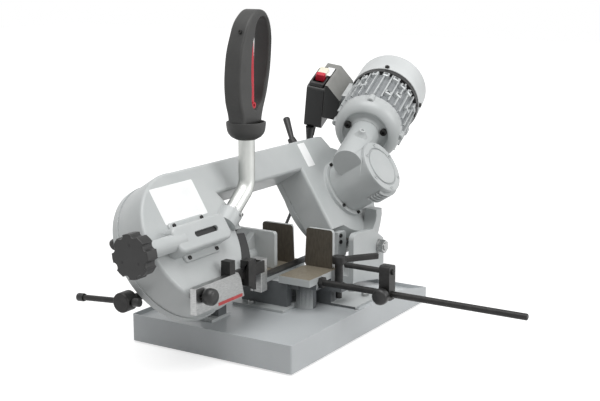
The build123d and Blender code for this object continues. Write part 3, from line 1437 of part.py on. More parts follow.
with BuildPart() as grip_rear:
    extrude(grip_loop(), amount=-grip_half)
    block(trigger_x - trigger_thickness - 1, trigger_x + 2 * trigger_thickness, tube_y - groove_half,
          tube_y + groove_half, trigger_pivot_z - 7, trigger_top + 3, Mode.SUBTRACT)
grip_rear.part.label = "grip_rear"
export_step(grip_rear.part, "parts/grip_rear.step")

with BuildPart() as trigger:
    block(trigger_x, trigger_x + trigger_thickness, tube_y - trigger_half, tube_y + trigger_half,
          trigger_pivot_z, trigger_top)
    round_bar((trigger_x + trigger_thickness / 2, tube_y - trigger_half, trigger_pivot_z), (0, 1, 0),
              trigger_thickness / 2, trigger_width)
trigger.part.label = "trigger"
export_step(trigger.part, "parts/trigger.step")


# Cords: routes of short runs with large arcs
def cord_path(points):
    """Radii for a route, as large as its runs allow."""
    radii = []
    for before, here, after in zip(points, points[1:], points[2:]):
        arriving = Vector(here) - Vector(before)
        leaving = Vector(after) - Vector(here)
        half_turn = radians(arriving.get_angle(leaving)) / 2
        radii.append(0.45 * min(arriving.length, leaving.length) / tan(half_turn))
    return radii


floor_z = cord_diameter / 2
cord_exit = motor_point(relief_s[0], relief_side, switch_low) + relief_down * relief_length
cord_points = [
    cord_exit,
    cord_exit + relief_down * 34,
    (392, 196, 232),
    (378, 208, 180),
    (352, 214, 130),
    (318, 217, 86),
    (278, 219, 50),
    (234, 222, 24),
    (190, 228, floor_z),
    (152, 240, floor_z),
    (126, 268, floor_z),
    (126, 306, floor_z),
    (152, 334, floor_z),
    (190, 343, floor_z),
    (228, 344, floor_z),
    (262, 344, floor_z),
]
cord_radii = cord_path(cord_points)
print("mains cord radii", [round(r, 1) for r in cord_radii])
with BuildPart() as mains_cord:
    with BuildLine() as mains_line:
        FilletPolyline(*cord_points, radius=cord_radii)
    with BuildSketch(Plane(origin=mains_line.line @ 0, z_dir=mains_line.line % 0)) as mains_round:
        Circle(cord_diameter / 2)
    sweep()
mains_cord.part.label = "mains_cord"
export_step(mains_cord.part, "parts/mains_cord.step")
mains_length = mains_line.wire().length
print("mains cord length", round(mains_length, 1), "volume ratio",
      round(mains_cord.part.volume / (pi * (cord_diameter / 2) ** 2 * mains_length), 4))

# Put-away coil: in on the lower layer, out again on the upper one
coil_start = Vector(*cord_points[-1])
coil_lead = cord_diameter
coil_tail = 12.0
coil_centre = coil_start + Vector(coil_lead, -coil_outer, 0)
coil_quarters = int(4 * (coil_turns + coil_out_turns)) + 2


def coil_state(q):
    """Point and heading after q quarter turns, clockwise seen from above."""
    total = coil_quarters
    inward = 4 * coil_turns
    if q <= inward:
        radius = coil_outer - coil_step * q / 4
        slope_r = -coil_step / 4
        z = 0.0
    elif q <= inward + 2:
        radius = coil_outer - coil_step * coil_turns
        slope_r = 0.0
        z = coil_rise * (q - inward) / 2
    else:
        radius = coil_outer - coil_step * coil_turns + coil_step * (q - inward - 2) / 4
        slope_r = coil_step / 4
        z = coil_rise
    turn = pi / 2 - q * pi / 2
    place = coil_centre + Vector(radius * cos(turn), radius * sin(turn), z)
    heading = Vector(radius * sin(turn), -radius * cos(turn), 0)
    if 0 < q < total and q not in (inward, inward + 2):
        heading = heading + Vector(cos(turn), sin(turn), 0) * (slope_r * 2 / pi)
    if inward < q < inward + 2:
        heading = heading + Vector(0, 0, coil_rise / pi)
    return place, heading.normalized()


def biarc_middle(p0, t0, p1, t1):
    """Joint of two arcs that leave and arrive along given headings."""
    chord = p1 - p0
    both = t0 + t1
    spread = 2 * (1 - t0.dot(t1))
    reach = (-chord.dot(both) + sqrt(chord.dot(both) ** 2 + spread * chord.dot(chord))) / spread
    q0 = p0 + t0 * reach
    q1 = p1 - t1 * reach
    return (q0 + q1) * 0.5, (q1 - q0).normalized()


with BuildPart() as mains_coil:
    with BuildLine() as coil_line:
        first, heading = coil_state(0)
        Line(coil_start, first)
        for q in range(coil_quarters):
            p0, t0 = coil_state(q)
            p1, t1 = coil_state(q + 1)
            middle, through = biarc_middle(p0, t0, p1, t1)
            TangentArc(p0, middle, tangent=t0)
            TangentArc(middle, p1, tangent=through)
        last, last_heading = coil_state(coil_quarters)
        Line(last, last + last_heading * coil_tail)
    with BuildSketch(Plane(origin=coil_start, z_dir=(1, 0, 0))) as coil_round:
        Circle(cord_diameter / 2)
    sweep()
mains_coil.part.label = "mains_coil"
export_step(mains_coil.part, "parts/mains_coil.step")
coil_wire = coil_line.wire()
coil_length = coil_wire.length
coil_steps = 900
coil_samples = [coil_wire @ (k / coil_steps) for k in range(coil_steps + 1)]
neighbours = int(4 * cord_diameter / (coil_length / coil_steps))
least = min((a - b).length for k, a in enumerate(coil_samples) for b in coil_samples[k + neighbours:])
print("coil length", round(coil_length, 1), "least gap", round(least - cord_diameter, 2), "volume ratio",
      round(mains_coil.part.volume / (pi * (cord_diameter / 2) ** 2 * coil_length), 4))
print("whole cord", round(mains_length + coil_length, 1))

# Plug on the end of the coil
plug_start = last + last_heading * coil_tail
plug_plane = Plane(origin=plug_start, x_dir=(0, 0, 1), z_dir=last_heading)
plug_half = plug_start.Z
plug_width = 36.0
plug_length = 42.0
plug_relief = 34.0
with BuildPart() as mains_plug:
    with Locations(plug_plane):
        Cone(cord_diameter / 2 + 1, 8, plug_relief, align=bottom)
    with BuildSketch(plug_plane.offset(plug_relief)) as plug_body:
        RectangleRounded(2 * plug_half, plug_width, 6)
    extrude(amount=plug_length)
    with BuildSketch(plug_plane.offset(plug_relief + plug_length)) as plug_pins:
        with Locations((0, -9.5), (0, 9.5)):
            Circle(2.4)
    extrude(amount=19)
mains_plug.part.label = "mains_plug"
export_step(mains_plug.part, "parts/mains_plug.step")

# Control cable from the switch box into the back of the head
cable_exit = motor_point(relief_s[1], relief_side, switch_low) + relief_down * relief_length
cable_end = head_point(236, 168, cover_back)
cable_points = [
    cable_exit,
    cable_exit + relief_down * 40,
    (342, 184, 226),
    (304, 186, 200),
    (264, 170, 198),
    cable_end - outward * 44,
    cable_end,
]
cable_radii = cord_path(cable_points)
print("control cable radii", [round(r, 1) for r in cable_radii])
with BuildPart() as control_cable:
    with BuildLine() as cable_line:
        FilletPolyline(*cable_points, radius=cable_radii)
    with BuildSketch(Plane(origin=cable_line.line @ 0, z_dir=cable_line.line % 0)) as cable_round:
        Circle(cable_diameter / 2)
    sweep()
control_cable.part.label = "control_cable"
export_step(control_cable.part, "parts/control_cable.step")
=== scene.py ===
import bpy
import json
import math
from mathutils import Matrix, Vector


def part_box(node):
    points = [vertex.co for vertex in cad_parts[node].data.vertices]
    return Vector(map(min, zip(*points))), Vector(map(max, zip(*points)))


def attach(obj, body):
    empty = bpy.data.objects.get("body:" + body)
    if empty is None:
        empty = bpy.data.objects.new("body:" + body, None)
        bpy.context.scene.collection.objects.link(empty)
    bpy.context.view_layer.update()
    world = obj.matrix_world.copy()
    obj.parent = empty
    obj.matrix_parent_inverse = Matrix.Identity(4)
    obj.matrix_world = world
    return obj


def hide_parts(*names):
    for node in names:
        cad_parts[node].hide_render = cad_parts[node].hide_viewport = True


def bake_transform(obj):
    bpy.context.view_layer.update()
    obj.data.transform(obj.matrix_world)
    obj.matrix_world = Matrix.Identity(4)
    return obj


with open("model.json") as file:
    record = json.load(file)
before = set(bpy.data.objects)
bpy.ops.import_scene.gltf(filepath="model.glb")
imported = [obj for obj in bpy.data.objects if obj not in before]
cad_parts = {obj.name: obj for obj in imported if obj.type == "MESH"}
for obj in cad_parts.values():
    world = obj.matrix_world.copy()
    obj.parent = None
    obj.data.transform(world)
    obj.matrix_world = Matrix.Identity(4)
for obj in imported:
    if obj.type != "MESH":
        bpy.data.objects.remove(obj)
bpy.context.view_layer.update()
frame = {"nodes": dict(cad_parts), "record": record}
nodes = frame["nodes"]
scene = bpy.context.scene


# Places on the saw, in millimetres: the head leans back about the blade, the motor lies along its own line
head_lean = math.radians(32)
worm_turn = math.radians(23)
wheel_v = 100.625
idler_x = -279
drive_x = 224
drum_radius = 125
casting_front = 35
arm_low = 165
arm_top = 225
worm_w = 101
worm_offset = 53
ALONG = Vector((1, 0, 0))
LEFTWARD = Vector((-1, 0, 0))
FRONTWARD = Vector((0, -1, 0))
SKYWARD = Vector((0, 0, 1))
UPWARD = Vector((0, math.sin(head_lean), math.cos(head_lean)))
OUTWARD = Vector((0, -math.cos(head_lean), math.sin(head_lean)))
HEAD = Vector((0, -0.020, 0.120))
MOTOR_LINE = ALONG * math.cos(worm_turn) + UPWARD * math.sin(worm_turn)
motor_side = UPWARD * math.cos(worm_turn) - ALONG * math.sin(worm_turn)
BOX_SIDE = (motor_side - OUTWARD).normalized()
BOX_UP = (motor_side + OUTWARD).normalized()


def head_point(x, v, w):
    """A point of the saw head from millimetres along the blade, up the wheels and out of the front."""
    return HEAD + (ALONG * x + UPWARD * v + OUTWARD * w) / 1000


def head_place(point):
    """The millimetres along the blade, up the wheels and out of the front of a point of the saw head."""
    away = (point - HEAD) * 1000
    return away.x, away.dot(UPWARD), away.dot(OUTWARD)


def drive_seat(radius, degrees, w):
    """A seat on a circle round the drive wheel's axis: its point, and the way out of the front."""
    turn = math.radians(degrees)
    return head_point(drive_x + radius * math.cos(turn), wheel_v + radius * math.sin(turn), w), OUTWARD


def start_line(turn):
    """The way along the blade, turned down about a wheel's axis by an angle in radians."""
    return ALONG * math.cos(turn) - UPWARD * math.sin(turn)


MOTOR = head_point(drive_x, wheel_v, worm_w) + motor_side * (worm_offset / 1000)


def motor_point(s, degrees, reach):
    """A point of the motor from millimetres along its shaft, an angle round it and a reach."""
    turn = math.radians(degrees)
    around = BOX_SIDE * math.cos(turn) + BOX_UP * math.sin(turn)
    return MOTOR + (MOTOR_LINE * s + around * reach) / 1000


def motor_seat(s, degrees, reach):
    """A seat on the motor: its point, and the way straight out from the shaft."""
    point = motor_point(s, degrees, reach)
    return point, point - motor_point(s, degrees, 0)


def motor_reach(point):
    """The millimetres from the motor's axis to a point."""
    away = point - MOTOR
    return (away - MOTOR_LINE * away.dot(MOTOR_LINE)).length * 1000


def box_point(s, side, up):
    """A point of the switch and terminal boxes from millimetres along, beside and above the motor."""
    return MOTOR + (MOTOR_LINE * s + BOX_SIDE * side + BOX_UP * up) / 1000


def add_object(name, data):
    """A new object in the scene."""
    thing = bpy.data.objects.new(name, data)
    scene.collection.objects.link(thing)
    return thing


def stand_and_look(thing, place, direction):
    """Puts the camera or a lamp at a place, looking along a direction."""
    thing.location = place
    thing.rotation_mode = "QUATERNION"
    thing.rotation_quaternion = direction.to_track_quat("-Z", "Y")


# Camera of the photograph
azimuth = math.radians(-58.04)
elevation = math.radians(11.73)
level = math.cos(elevation)
camera_back = Vector((math.sin(azimuth) * level, -math.cos(azimuth) * level, math.sin(elevation)))
camera_data = bpy.data.cameras.new("photo_camera")
camera_data.sensor_width = 36.0
camera_data.lens = 68.7
camera_data.clip_end = 100
camera = add_object("photo_camera", camera_data)
stand_and_look(camera, (-1.8036, -1.1528, 0.683), -camera_back)
scene.camera = camera
scene.view_settings.view_transform = "Standard"


# Materials
def linear(code):
    """The linear colour of an sRGB hex code."""
    parts = [int(code[i:i + 2], 16) / 255 for i in (1, 3, 5)]
    return [c / 12.92 if c <= 0.04045 else ((c + 0.055) / 1.055) ** 2.4 for c in parts] + [1.0]


def add_node(tree, kind, settings=None, **links):
    """Adds one node: settings are its properties and socket values, links come from other nodes' sockets."""
    node = tree.nodes.new(kind)
    for key, value in (settings or {}).items():
        if isinstance(key, str) and hasattr(node, key):
            setattr(node, key, value)
        else:
            node.inputs[key].default_value = value
    for key, socket in links.items():
        name = int(key[1:]) if key[0] == "_" else key.replace("_", " ")
        tree.links.new(socket, node.inputs[name])
    return node


def start_material(name, **sockets):
    """A material with its shader, and the object coordinates that its patterns read."""
    material = bpy.data.materials.new(name)
    material.use_nodes = True
    tree = material.node_tree
    shader = tree.nodes["Principled BSDF"]
    for key, value in sockets.items():
        shader.inputs[key.replace("_", " ")].default_value = value
    place = add_node(tree, "ShaderNodeTexCoord")
    return material, tree, shader, place.outputs["Object"]


patch_limits = (0.32, 0.68)


def mottled(name, dark, light, patch_mm, rough, grain_mm, bump_mm, stretch=None, **sockets):
    """A surface whose colour drifts over patches, with a grain in its gloss and relief.

    Grains finer than a millimetre would not show, so they are drawn at one to three millimetres."""
    material, tree, shader, place = start_material(name, **sockets)
    if stretch:
        place = add_node(tree, "ShaderNodeMapping", {"Scale": stretch}, Vector=place).outputs[0]
    patch = add_node(tree, "ShaderNodeTexNoise", {"Scale": 1000 / patch_mm, "Detail": 4.0}, Vector=place)
    drift = add_node(tree, "ShaderNodeValToRGB", Fac=patch.outputs["Fac"])
    for stop, position, code in zip(drift.color_ramp.elements, patch_limits, (dark, light)):
        stop.position = position
        stop.color = linear(code)
    tree.links.new(drift.outputs["Color"], shader.inputs["Base Color"])
    grain = add_node(tree, "ShaderNodeTexNoise", {"Scale": 1000 / grain_mm, "Detail": 2.0}, Vector=place)
    gloss = add_node(tree, "ShaderNodeMapRange", {"To Min": rough[0], "To Max": rough[1]},
                     Value=grain.outputs["Fac"])
    tree.links.new(gloss.outputs["Result"], shader.inputs["Roughness"])
    relief = add_node(tree, "ShaderNodeBump", {"Strength": 1.0, "Distance": bump_mm / 1000},
                      Height=grain.outputs["Fac"])
    tree.links.new(relief.outputs["Normal"], shader.inputs["Normal"])
    return material


# Satin enamel over filled castings: an even light grey, a broad soft highlight and a slight orange peel
enamel = mottled("satin_grey_enamel", "#b0b4b4", "#b9bcbc", patch_mm=70, rough=(0.34, 0.46),
                 grain_mm=2.4, bump_mm=0.018, Coat_Weight=0.12)
# The same enamel on folded sheet: smoother and a little cooler than on the castings
tray_enamel = mottled("sheet_grey_enamel", "#b2b6b8", "#babec0", patch_mm=110, rough=(0.36, 0.46),
                      grain_mm=2.8, bump_mm=0.010, Coat_Weight=0.1)
# Milled grey iron: warm brown grey, drawn out along the cutter's lines
milled_iron = mottled("milled_grey_iron", "#857d6f", "#9d9585", patch_mm=10, rough=(0.38, 0.55),
                      grain_mm=1.4, bump_mm=0.012, stretch=(1, 9, 1), Metallic=0.45)
# Hardened jaw steel, left black brown by its heat treatment
jaw_steel = mottled("hardened_jaw_steel", "#49443c", "#5b554b", patch_mm=14, rough=(0.42, 0.60),
                    grain_mm=1.6, bump_mm=0.012, stretch=(1, 4, 1), Metallic=0.2)
# Oil-blackened steel: deep grey with a dull shine
blackened = mottled("oil_blackened_steel", "#1d1d1d", "#2c2b2a", patch_mm=12, rough=(0.36, 0.52),
                    grain_mm=1.2, bump_mm=0.008, Metallic=0.4)
# Ground bright steel: pale, with fine lines along its length
bright_steel = mottled("ground_bright_steel", "#9b9c9c", "#b4b5b4", patch_mm=8, rough=(0.26, 0.40),
                       grain_mm=1.0, bump_mm=0.004, stretch=(1, 1, 6), Metallic=1.0)
# Satin chrome on tube: bright, with the reflections blurred by its brushing
chrome = mottled("satin_chrome_plate", "#b4b6b3", "#c2c4c1", patch_mm=40, rough=(0.34, 0.44),
                 grain_mm=2.5, bump_mm=0.004, Metallic=1.0)
# Glass-filled nylon: charcoal grey with the fine grain of the mould
black_nylon = mottled("moulded_charcoal_nylon", "#2b2b2a", "#333332", patch_mm=30, rough=(0.46, 0.62),
                      grain_mm=1.1, bump_mm=0.02)
# Deep black phenolic of the clamp knobs: smoother and darker than the grip
knob_black = mottled("pressed_black_phenolic", "#161616", "#1f1f1f", patch_mm=20, rough=(0.34, 0.48),
                     grain_mm=1.2, bump_mm=0.008)
# Black ABS of the switch box: smooth, with a soft shine
black_abs = mottled("smooth_black_abs", "#121313", "#1b1c1c", patch_mm=40, rough=(0.34, 0.46),
                    grain_mm=1.4, bump_mm=0.006)
# Grey ABS of the terminal box's lid: matt
grey_abs = mottled("matt_grey_abs", "#7d7d7a", "#888885", patch_mm=40, rough=(0.46, 0.58),
                   grain_mm=1.4, bump_mm=0.01)
# Red ABS of the trigger and stop button: an even red with a soft shine
red_abs = mottled("glossy_red_abs", "#b0182a", "#c12236", patch_mm=30, rough=(0.40, 0.52),
                  grain_mm=1.5, bump_mm=0.004)
# Ivory ABS of the start button: smooth and warm white
ivory_abs = mottled("ivory_abs", "#e2ddc8", "#ece7d4", patch_mm=30, rough=(0.26, 0.36),
                    grain_mm=1.5, bump_mm=0.004)
# Pressure-cast aluminium under clear lacquer: silver grey with a soft sparkle
cast_aluminium = mottled("lacquered_cast_aluminium", "#b4b7b8", "#c6c9c9", patch_mm=16, rough=(0.34, 0.48),
                         grain_mm=1.8, bump_mm=0.03, Metallic=0.35)
# Hardened strip steel of the blade: dark, drawn out along the band
strip_steel = mottled("hardened_strip_steel", "#55575a", "#76787a", patch_mm=6, rough=(0.28, 0.42),
                      grain_mm=1.0, bump_mm=0.004, stretch=(0.2, 1, 1), Metallic=1.0)
# Black PVC of the cords and rubber of the feet: dull, with no clear reflection
black_rubber = mottled("black_pvc_rubber", "#161617", "#1f1f20", patch_mm=30, rough=(0.50, 0.62),
                       grain_mm=1.4, bump_mm=0.012)
# Worm wheel bronze: brown yellow, turned
bronze = mottled("turned_bronze", "#8a6a34", "#a5803f", patch_mm=10, rough=(0.30, 0.45),
                 grain_mm=1.2, bump_mm=0.01, Metallic=1.0)
# Bare label film: clean white with a slight sheen
label_film = mottled("white_label_film", "#eceded", "#f3f4f4", patch_mm=30, rough=(0.32, 0.40),
                     grain_mm=3.0, bump_mm=0.003)
# Enamel darkened as painted shade for the bed's legs under the table, rougher than on the head
leg_shade_enamel = mottled("leg_shade_grey_enamel", "#5b5e60", "#65686a", patch_mm=40, rough=(0.42, 0.56),
                     grain_mm=3.0, bump_mm=0.04)
# Enamel of the pressed fan cover, nearly white
pale_enamel = mottled("pale_grey_enamel", "#c6c9c9", "#d0d3d3", patch_mm=60, rough=(0.36, 0.46),
                      grain_mm=2.6, bump_mm=0.012)
# Cast aluminium darkened as painted shade, for the skin between the fins and the floors of the bosses' eyes
fin_gap_shade_aluminium = mottled("fin_gap_shade_cast_aluminium", "#85888a", "#95989a", patch_mm=14, rough=(0.50, 0.64),
                         grain_mm=1.8, bump_mm=0.03, Metallic=0.2)
# Red paint line on the guide bar, a little faded
red_paint = mottled("red_scale_paint", "#a83436", "#b84344", patch_mm=12, rough=(0.40, 0.52),
                    grain_mm=1.6, bump_mm=0.006)

finishes = {
    "grey_paint": enamel, "tray_paint": tray_enamel, "cast_table": milled_iron, "black_steel": blackened,
    "bright_steel": bright_steel, "chrome_tube": chrome, "black_plastic": knob_black, "red_plastic": red_abs,
    "white_plastic": ivory_abs, "motor_aluminium": cast_aluminium, "bronze": bronze,
    "blade_steel": strip_steel, "rubber": black_rubber,
}


def paint(piece, material):
    """Gives a piece one finish all over."""
    piece.data.materials.clear()
    piece.data.materials.append(material)


def repaint(piece, material, test):
    """Gives another finish to the faces whose middle and normal pass a test."""
    piece.data.materials.append(material)
    added = len(piece.data.materials) - 1
    for face in piece.data.polygons:
        if test(face.center, face.normal):
            face.material_index = added


slot_of = {entry["node"]: entry["material_slot"] for entry in frame["record"]["subparts"]}
body_of = {node: body for body, group in frame["record"]["behaviour"]["bodies"].items() for node in group}
for node, slot in slot_of.items():
    paint(nodes[node], finishes[slot])


# Modelling by hand: small tools that the pieces below share
merge_gap = 0.00001
flat_turn = math.radians(0.6)
sharp_turn = math.radians(30)
broken_turn = math.radians(35)


def hold(piece):
    """Selects one piece alone and makes it the active one."""
    bpy.ops.object.select_all(action="DESELECT")
    piece.select_set(True)
    bpy.context.view_layer.objects.active = piece


def edit(piece, kind="VERT"):
    """Opens one piece in edit mode for vertices, edges or faces."""
    hold(piece)
    bpy.context.tool_settings.mesh_select_mode = (kind == "VERT", kind == "EDGE", kind == "FACE")
    bpy.ops.object.mode_set(mode="EDIT")


def edit_all(piece):
    """Opens one piece in edit mode with all of it selected."""
    edit(piece)
    bpy.ops.mesh.select_all(action="SELECT")


def done():
    """Closes edit mode."""
    bpy.ops.object.mode_set(mode="OBJECT")


def nothing_chosen(piece):
    """Leaves no point, edge or face of a piece selected."""
    mesh = piece.data
    for group in (mesh.vertices, mesh.edges, mesh.polygons):
        group.foreach_set("select", [False] * len(group))


def choose_faces(piece, test):
    """Selects the faces whose middle and normal pass a test, and opens the piece on them."""
    nothing_chosen(piece)
    for face in piece.data.polygons:
        face.select = test(face.center, face.normal)
    edit(piece, "FACE")


def choose_edges(piece, test):
    """Selects the sharp edges whose middle and two facings pass a test, and opens the piece on them."""
    mesh = piece.data
    nothing_chosen(piece)
    facings = {}
    for face in mesh.polygons:
        for key in face.edge_keys:
            facings.setdefault(key, []).append(face.normal.copy())
    for edge in mesh.edges:
        sides = facings.get(edge.key, [])
        if len(sides) == 2 and sides[0].angle(sides[1], 0) > sharp_turn:
            a, b = (mesh.vertices[i].co for i in edge.vertices)
            edge.select = test((a + b) / 2, sides)
    edit(piece, "EDGE")


def round_edges(piece, test, width_mm, segments):
    """Rounds the sharp edges that pass a test."""
    choose_edges(piece, test)
    bpy.ops.mesh.bevel(offset=width_mm / 1000, segments=segments, profile=0.5, affect="EDGES",
                       clamp_overlap=False)
    done()


def soften(piece, width_mm):
    """Breaks the remaining sharp edges with a small bevel."""
    hold(piece)
    broken = piece.modifiers.new("broken_edges", "BEVEL")
    broken.width = width_mm / 1000
    broken.segments = 2
    broken.limit_method = "ANGLE"
    broken.angle_limit = broken_turn
    broken.use_clamp_overlap = False
    bpy.ops.object.modifier_apply(modifier=broken.name)


def smooth(piece, degrees=50):
    """Smooth shading that keeps flats flat and sharp edges sharp."""
    hold(piece)
    bpy.ops.object.shade_smooth_by_angle(angle=math.radians(degrees))
    flats = piece.modifiers.new("flat_faces", "WEIGHTED_NORMAL")
    flats.keep_sharp = True
    bpy.ops.object.modifier_apply(modifier=flats.name)


def joined_copy(node):
    """A copy of a CAD node with its loose triangles joined to whole faces."""
    piece = add_object(node + "_finished", nodes[node].data.copy())
    edit_all(piece)
    bpy.ops.mesh.remove_doubles(threshold=merge_gap)
    bpy.ops.mesh.customdata_custom_splitnormals_clear()
    bpy.ops.mesh.select_all(action="SELECT")
    bpy.ops.mesh.dissolve_limited(angle_limit=flat_turn)
    done()
    return piece


def stand_for(piece, material, *names):
    """Smooths and paints a piece, and puts it in the place of CAD nodes, on their body."""
    smooth(piece)
    paint(piece, material)
    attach(piece, body_of[names[0]])
    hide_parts(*names)


def add_on(piece, body, material, degrees=50):
    """Smooths a piece that the CAD model lacks, and puts it on a body."""
    smooth(piece, degrees)
    paint(piece, material)
    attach(piece, body)


def placed(piece, origin, z_dir, x_dir=None):
    """Turns and moves a piece made at the origin, and leaves its object there."""
    z = Vector(z_dir).normalized()
    if x_dir is None:
        x_dir = SKYWARD.cross(z)
        if x_dir.length < 0.01:
            x_dir = ALONG
    x = (x_dir - z * x_dir.dot(z)).normalized()
    turn = Matrix((x, z.cross(x), z)).transposed()
    hold(piece)
    piece.matrix_world = Matrix.Translation(origin) @ turn.to_4x4()
    bpy.ops.object.transform_apply(location=True, rotation=True, scale=True)
    return piece


def swept(name, outline, steps, degrees=360):
    """A piece swept about Z from an outline of radius and height in millimetres.

    A full turn closes an open outline, and a shorter one is a bar with the outline as its section."""
    full = degrees == 360
    edges = [(k, k + 1) for k in range(len(outline) - 1)] if full else []
    faces = [] if full else [range(len(outline))]
    mesh = bpy.data.meshes.new(name)
    mesh.from_pydata([(r / 1000, 0, z / 1000) for r, z in outline], edges, faces)
    piece = add_object(name, mesh)
    edit_all(piece)
    bpy.ops.mesh.spin(steps=steps, angle=math.radians(degrees), center=(0, 0, 0), axis=(0, 0, 1))
    bpy.ops.mesh.select_all(action="SELECT")
    if full:
        bpy.ops.mesh.remove_doubles(threshold=merge_gap)
    bpy.ops.mesh.normals_make_consistent(inside=False)
    done()
    return piece


def slab(name, size, corner, edge=0.0):
    """A block standing on Z with rounded upright corners and a broken top edge, sizes in millimetres."""
    bpy.ops.object.select_all(action="DESELECT")
    bpy.ops.mesh.primitive_cube_add(size=1, location=(0, 0, size[2] / 2000))
    piece = bpy.context.object
    piece.name = name
    piece.scale = [s / 1000 for s in size]
    bpy.ops.object.transform_apply(location=True, rotation=True, scale=True)
    round_edges(piece, lambda p, sides: all(abs(n.z) < 0.1 for n in sides), corner, 4)
    if edge:
        round_edges(piece, lambda p, sides: any(n.z > 0.9 for n in sides), edge, 2)
    return piece


def sink(depth_mm):
    """Pushes the chosen faces straight down into their piece, and closes edit mode."""
    bpy.ops.mesh.extrude_region_move(TRANSFORM_OT_translate={"value": (0, 0, -depth_mm / 1000)})
    done()


def joined(pieces, name):
    """Joins pieces into one."""
    bpy.ops.object.select_all(action="DESELECT")
    for piece in pieces:
        piece.select_set(True)
    bpy.context.view_layer.objects.active = pieces[0]
    bpy.ops.object.join()
    pieces[0].name = name
    return pieces[0]


def copies(pattern, seats, name, x_dir=None):
    """Copies of one pattern piece, each with its own mesh, set on places along their axes and joined."""
    rows = []
    for origin, axis in seats:
        rows.append(placed(add_object(name, pattern.data.copy()), origin, axis, x_dir))
    bpy.data.objects.remove(pattern)
    return joined(rows, name)


# Edge, crown and rim of a screw head as shares of its radius, and its socket's depth as a share of its height
screw_edge = 0.14
screw_crown = 0.10
screw_rim = 0.36
socket_depth = 0.5


def cap_screws(name, radius, height, seats):
    """Cap screws on their seats: round heads with a broken edge and a sunk socket, sizes in millimetres."""
    bpy.ops.object.select_all(action="DESELECT")
    bpy.ops.mesh.primitive_cylinder_add(vertices=24, radius=radius / 1000, depth=height / 1000,
                                        location=(0, 0, height / 2000))
    screw = bpy.context.object
    bpy.ops.object.transform_apply(location=True, rotation=True, scale=True)
    choose_faces(screw, lambda p, n: n.z > 0.9)
    bpy.ops.mesh.inset(thickness=radius * screw_edge / 1000, depth=radius * screw_crown / 1000)
    bpy.ops.mesh.inset(thickness=radius * screw_rim / 1000)
    sink(height * socket_depth)
    return copies(screw, seats, name)


# The CAD nodes that keep their shape: edges broken as the foundry, the press or the lathe leaves them
plain_edges = {
    "tray": 0.4, "tray_feet": 0.8, "bed": 0.4, "bed_bolts": 0.7, "vice_bracket": 0.8, "stop_rod": 0.6,
    "lock_post": 0.8, "pivot_pin": 0.8, "vice_spindle": 0.8, "tee_bar": 0.6, "tee_caps": 1.6,
    "stop_bracket": 0.4, "stop_pin": 0.8, "lock_lever": 1.8, "swivel_arm": 1.0, "hinge_pins": 0.8,
    "hinge_nuts": 0.2, "mains_plug": 2.0, "wheel_cover": 0.4, "cover_knobs": 1.6, "gearbox_housing": 1.4,
    "motor_body": 0.4, "fan_cover": 0.4, "idler_wheel": 0.4, "tension_carriage": 0.8, "terminal_box": 1.8,
    "switch_box": 1.0, "cord_relief": 0.4, "right_guide": 0.8, "cover_lever": 0.2, "trigger": 1.6,
    "guide_bar": 0.8, "guide_guard": 0.5, "left_guide": 0.8,
}
# The tension carriage is made black rubber as painted shade in the slot of its housing
special_finish = {
    "terminal_box": grey_abs, "switch_box": black_abs, "tension_carriage": black_rubber,
    "fan_cover": pale_enamel, "right_guide": enamel,
}
for node, width in plain_edges.items():
    piece = joined_copy(node)
    soften(piece, width)
    stand_for(piece, special_finish.get(node, finishes[slot_of[node]]), node)

# The terminal box has a black base under its grey lid
lid_edge = -0.012
repaint(bpy.data.objects["terminal_box_finished"], black_abs,
        lambda p, n: n.dot(MOTOR_LINE) < -0.55 or (p - MOTOR).dot(BOX_UP) < lid_edge)


# Start and stop buttons: low caps that leave a black rim of the bezel round them
button_width = 20
button_height = 15
button_sink = 0.0052
for node, material, length, shift in (("on_button", ivory_abs, 27, -3.0), ("off_button", red_abs, 14, 8.0)):
    low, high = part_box(node)
    cap = slab(node + "_finished", (length, button_width, button_height), 3, 1.6)
    middle = (low + high) / 2 + (MOTOR_LINE * shift) / 1000
    placed(cap, middle - BOX_UP * button_sink, BOX_UP, MOTOR_LINE)
    stand_for(cap, material, node)


# Bow: the foundry rounds its front edge broadly, and breaks the rest
near_plane = 0.2
near_line = 0.8
drive_block_left = 113
gearbox_left = 215


def on_bow_outline(point, sides):
    """True on the front edges of the drum and the arm, short of the gearbox."""
    x, v, w = head_place(point)
    off_drum = math.hypot(x - idler_x, v - wheel_v) - drum_radius
    gaps = (off_drum, v - arm_top, v - arm_low, x - drive_block_left)
    outline = any(abs(gap) < near_line for gap in gaps)
    return abs(w - casting_front) < near_plane and outline and x < gearbox_left


bow = joined_copy("bow")
round_edges(bow, on_bow_outline, 6.5, 4)
soften(bow, 1.2)
stand_for(bow, enamel, "bow")


# Tension housing: a block that runs into the drum face with soft edges
housing_x = -291
housing_front = 64
housing_reach = 26
slot_x = -287
slot_half_length = 36
slot_half_height = 8
flange_front = 39
flange_half_length = 50


def on_housing_front(point, sides):
    """True on the front edges of the block, apart from those of its slot."""
    x, v, w = head_place(point)
    in_slot = abs(x - slot_x) < slot_half_length and abs(v - wheel_v) < slot_half_height
    return abs(w - housing_front) < near_plane and not in_slot


def on_flange_front(point, sides):
    """True on the front edges of the flange above and below the block."""
    x, v, w = head_place(point)
    outs = [n.dot(OUTWARD) for n in sides]
    on_front = abs(w - flange_front) < near_plane and max(outs) > 0.9 and min(outs) > -0.5
    along = abs(x - housing_x) < flange_half_length + near_plane
    return on_front and along and abs(v - wheel_v) > housing_reach


tension_housing = joined_copy("tension_housing")
round_edges(tension_housing, on_housing_front, 6, 4)
round_edges(tension_housing, on_flange_front, 3.8, 4)
soften(tension_housing, 0.8)
stand_for(tension_housing, enamel, "tension_housing")
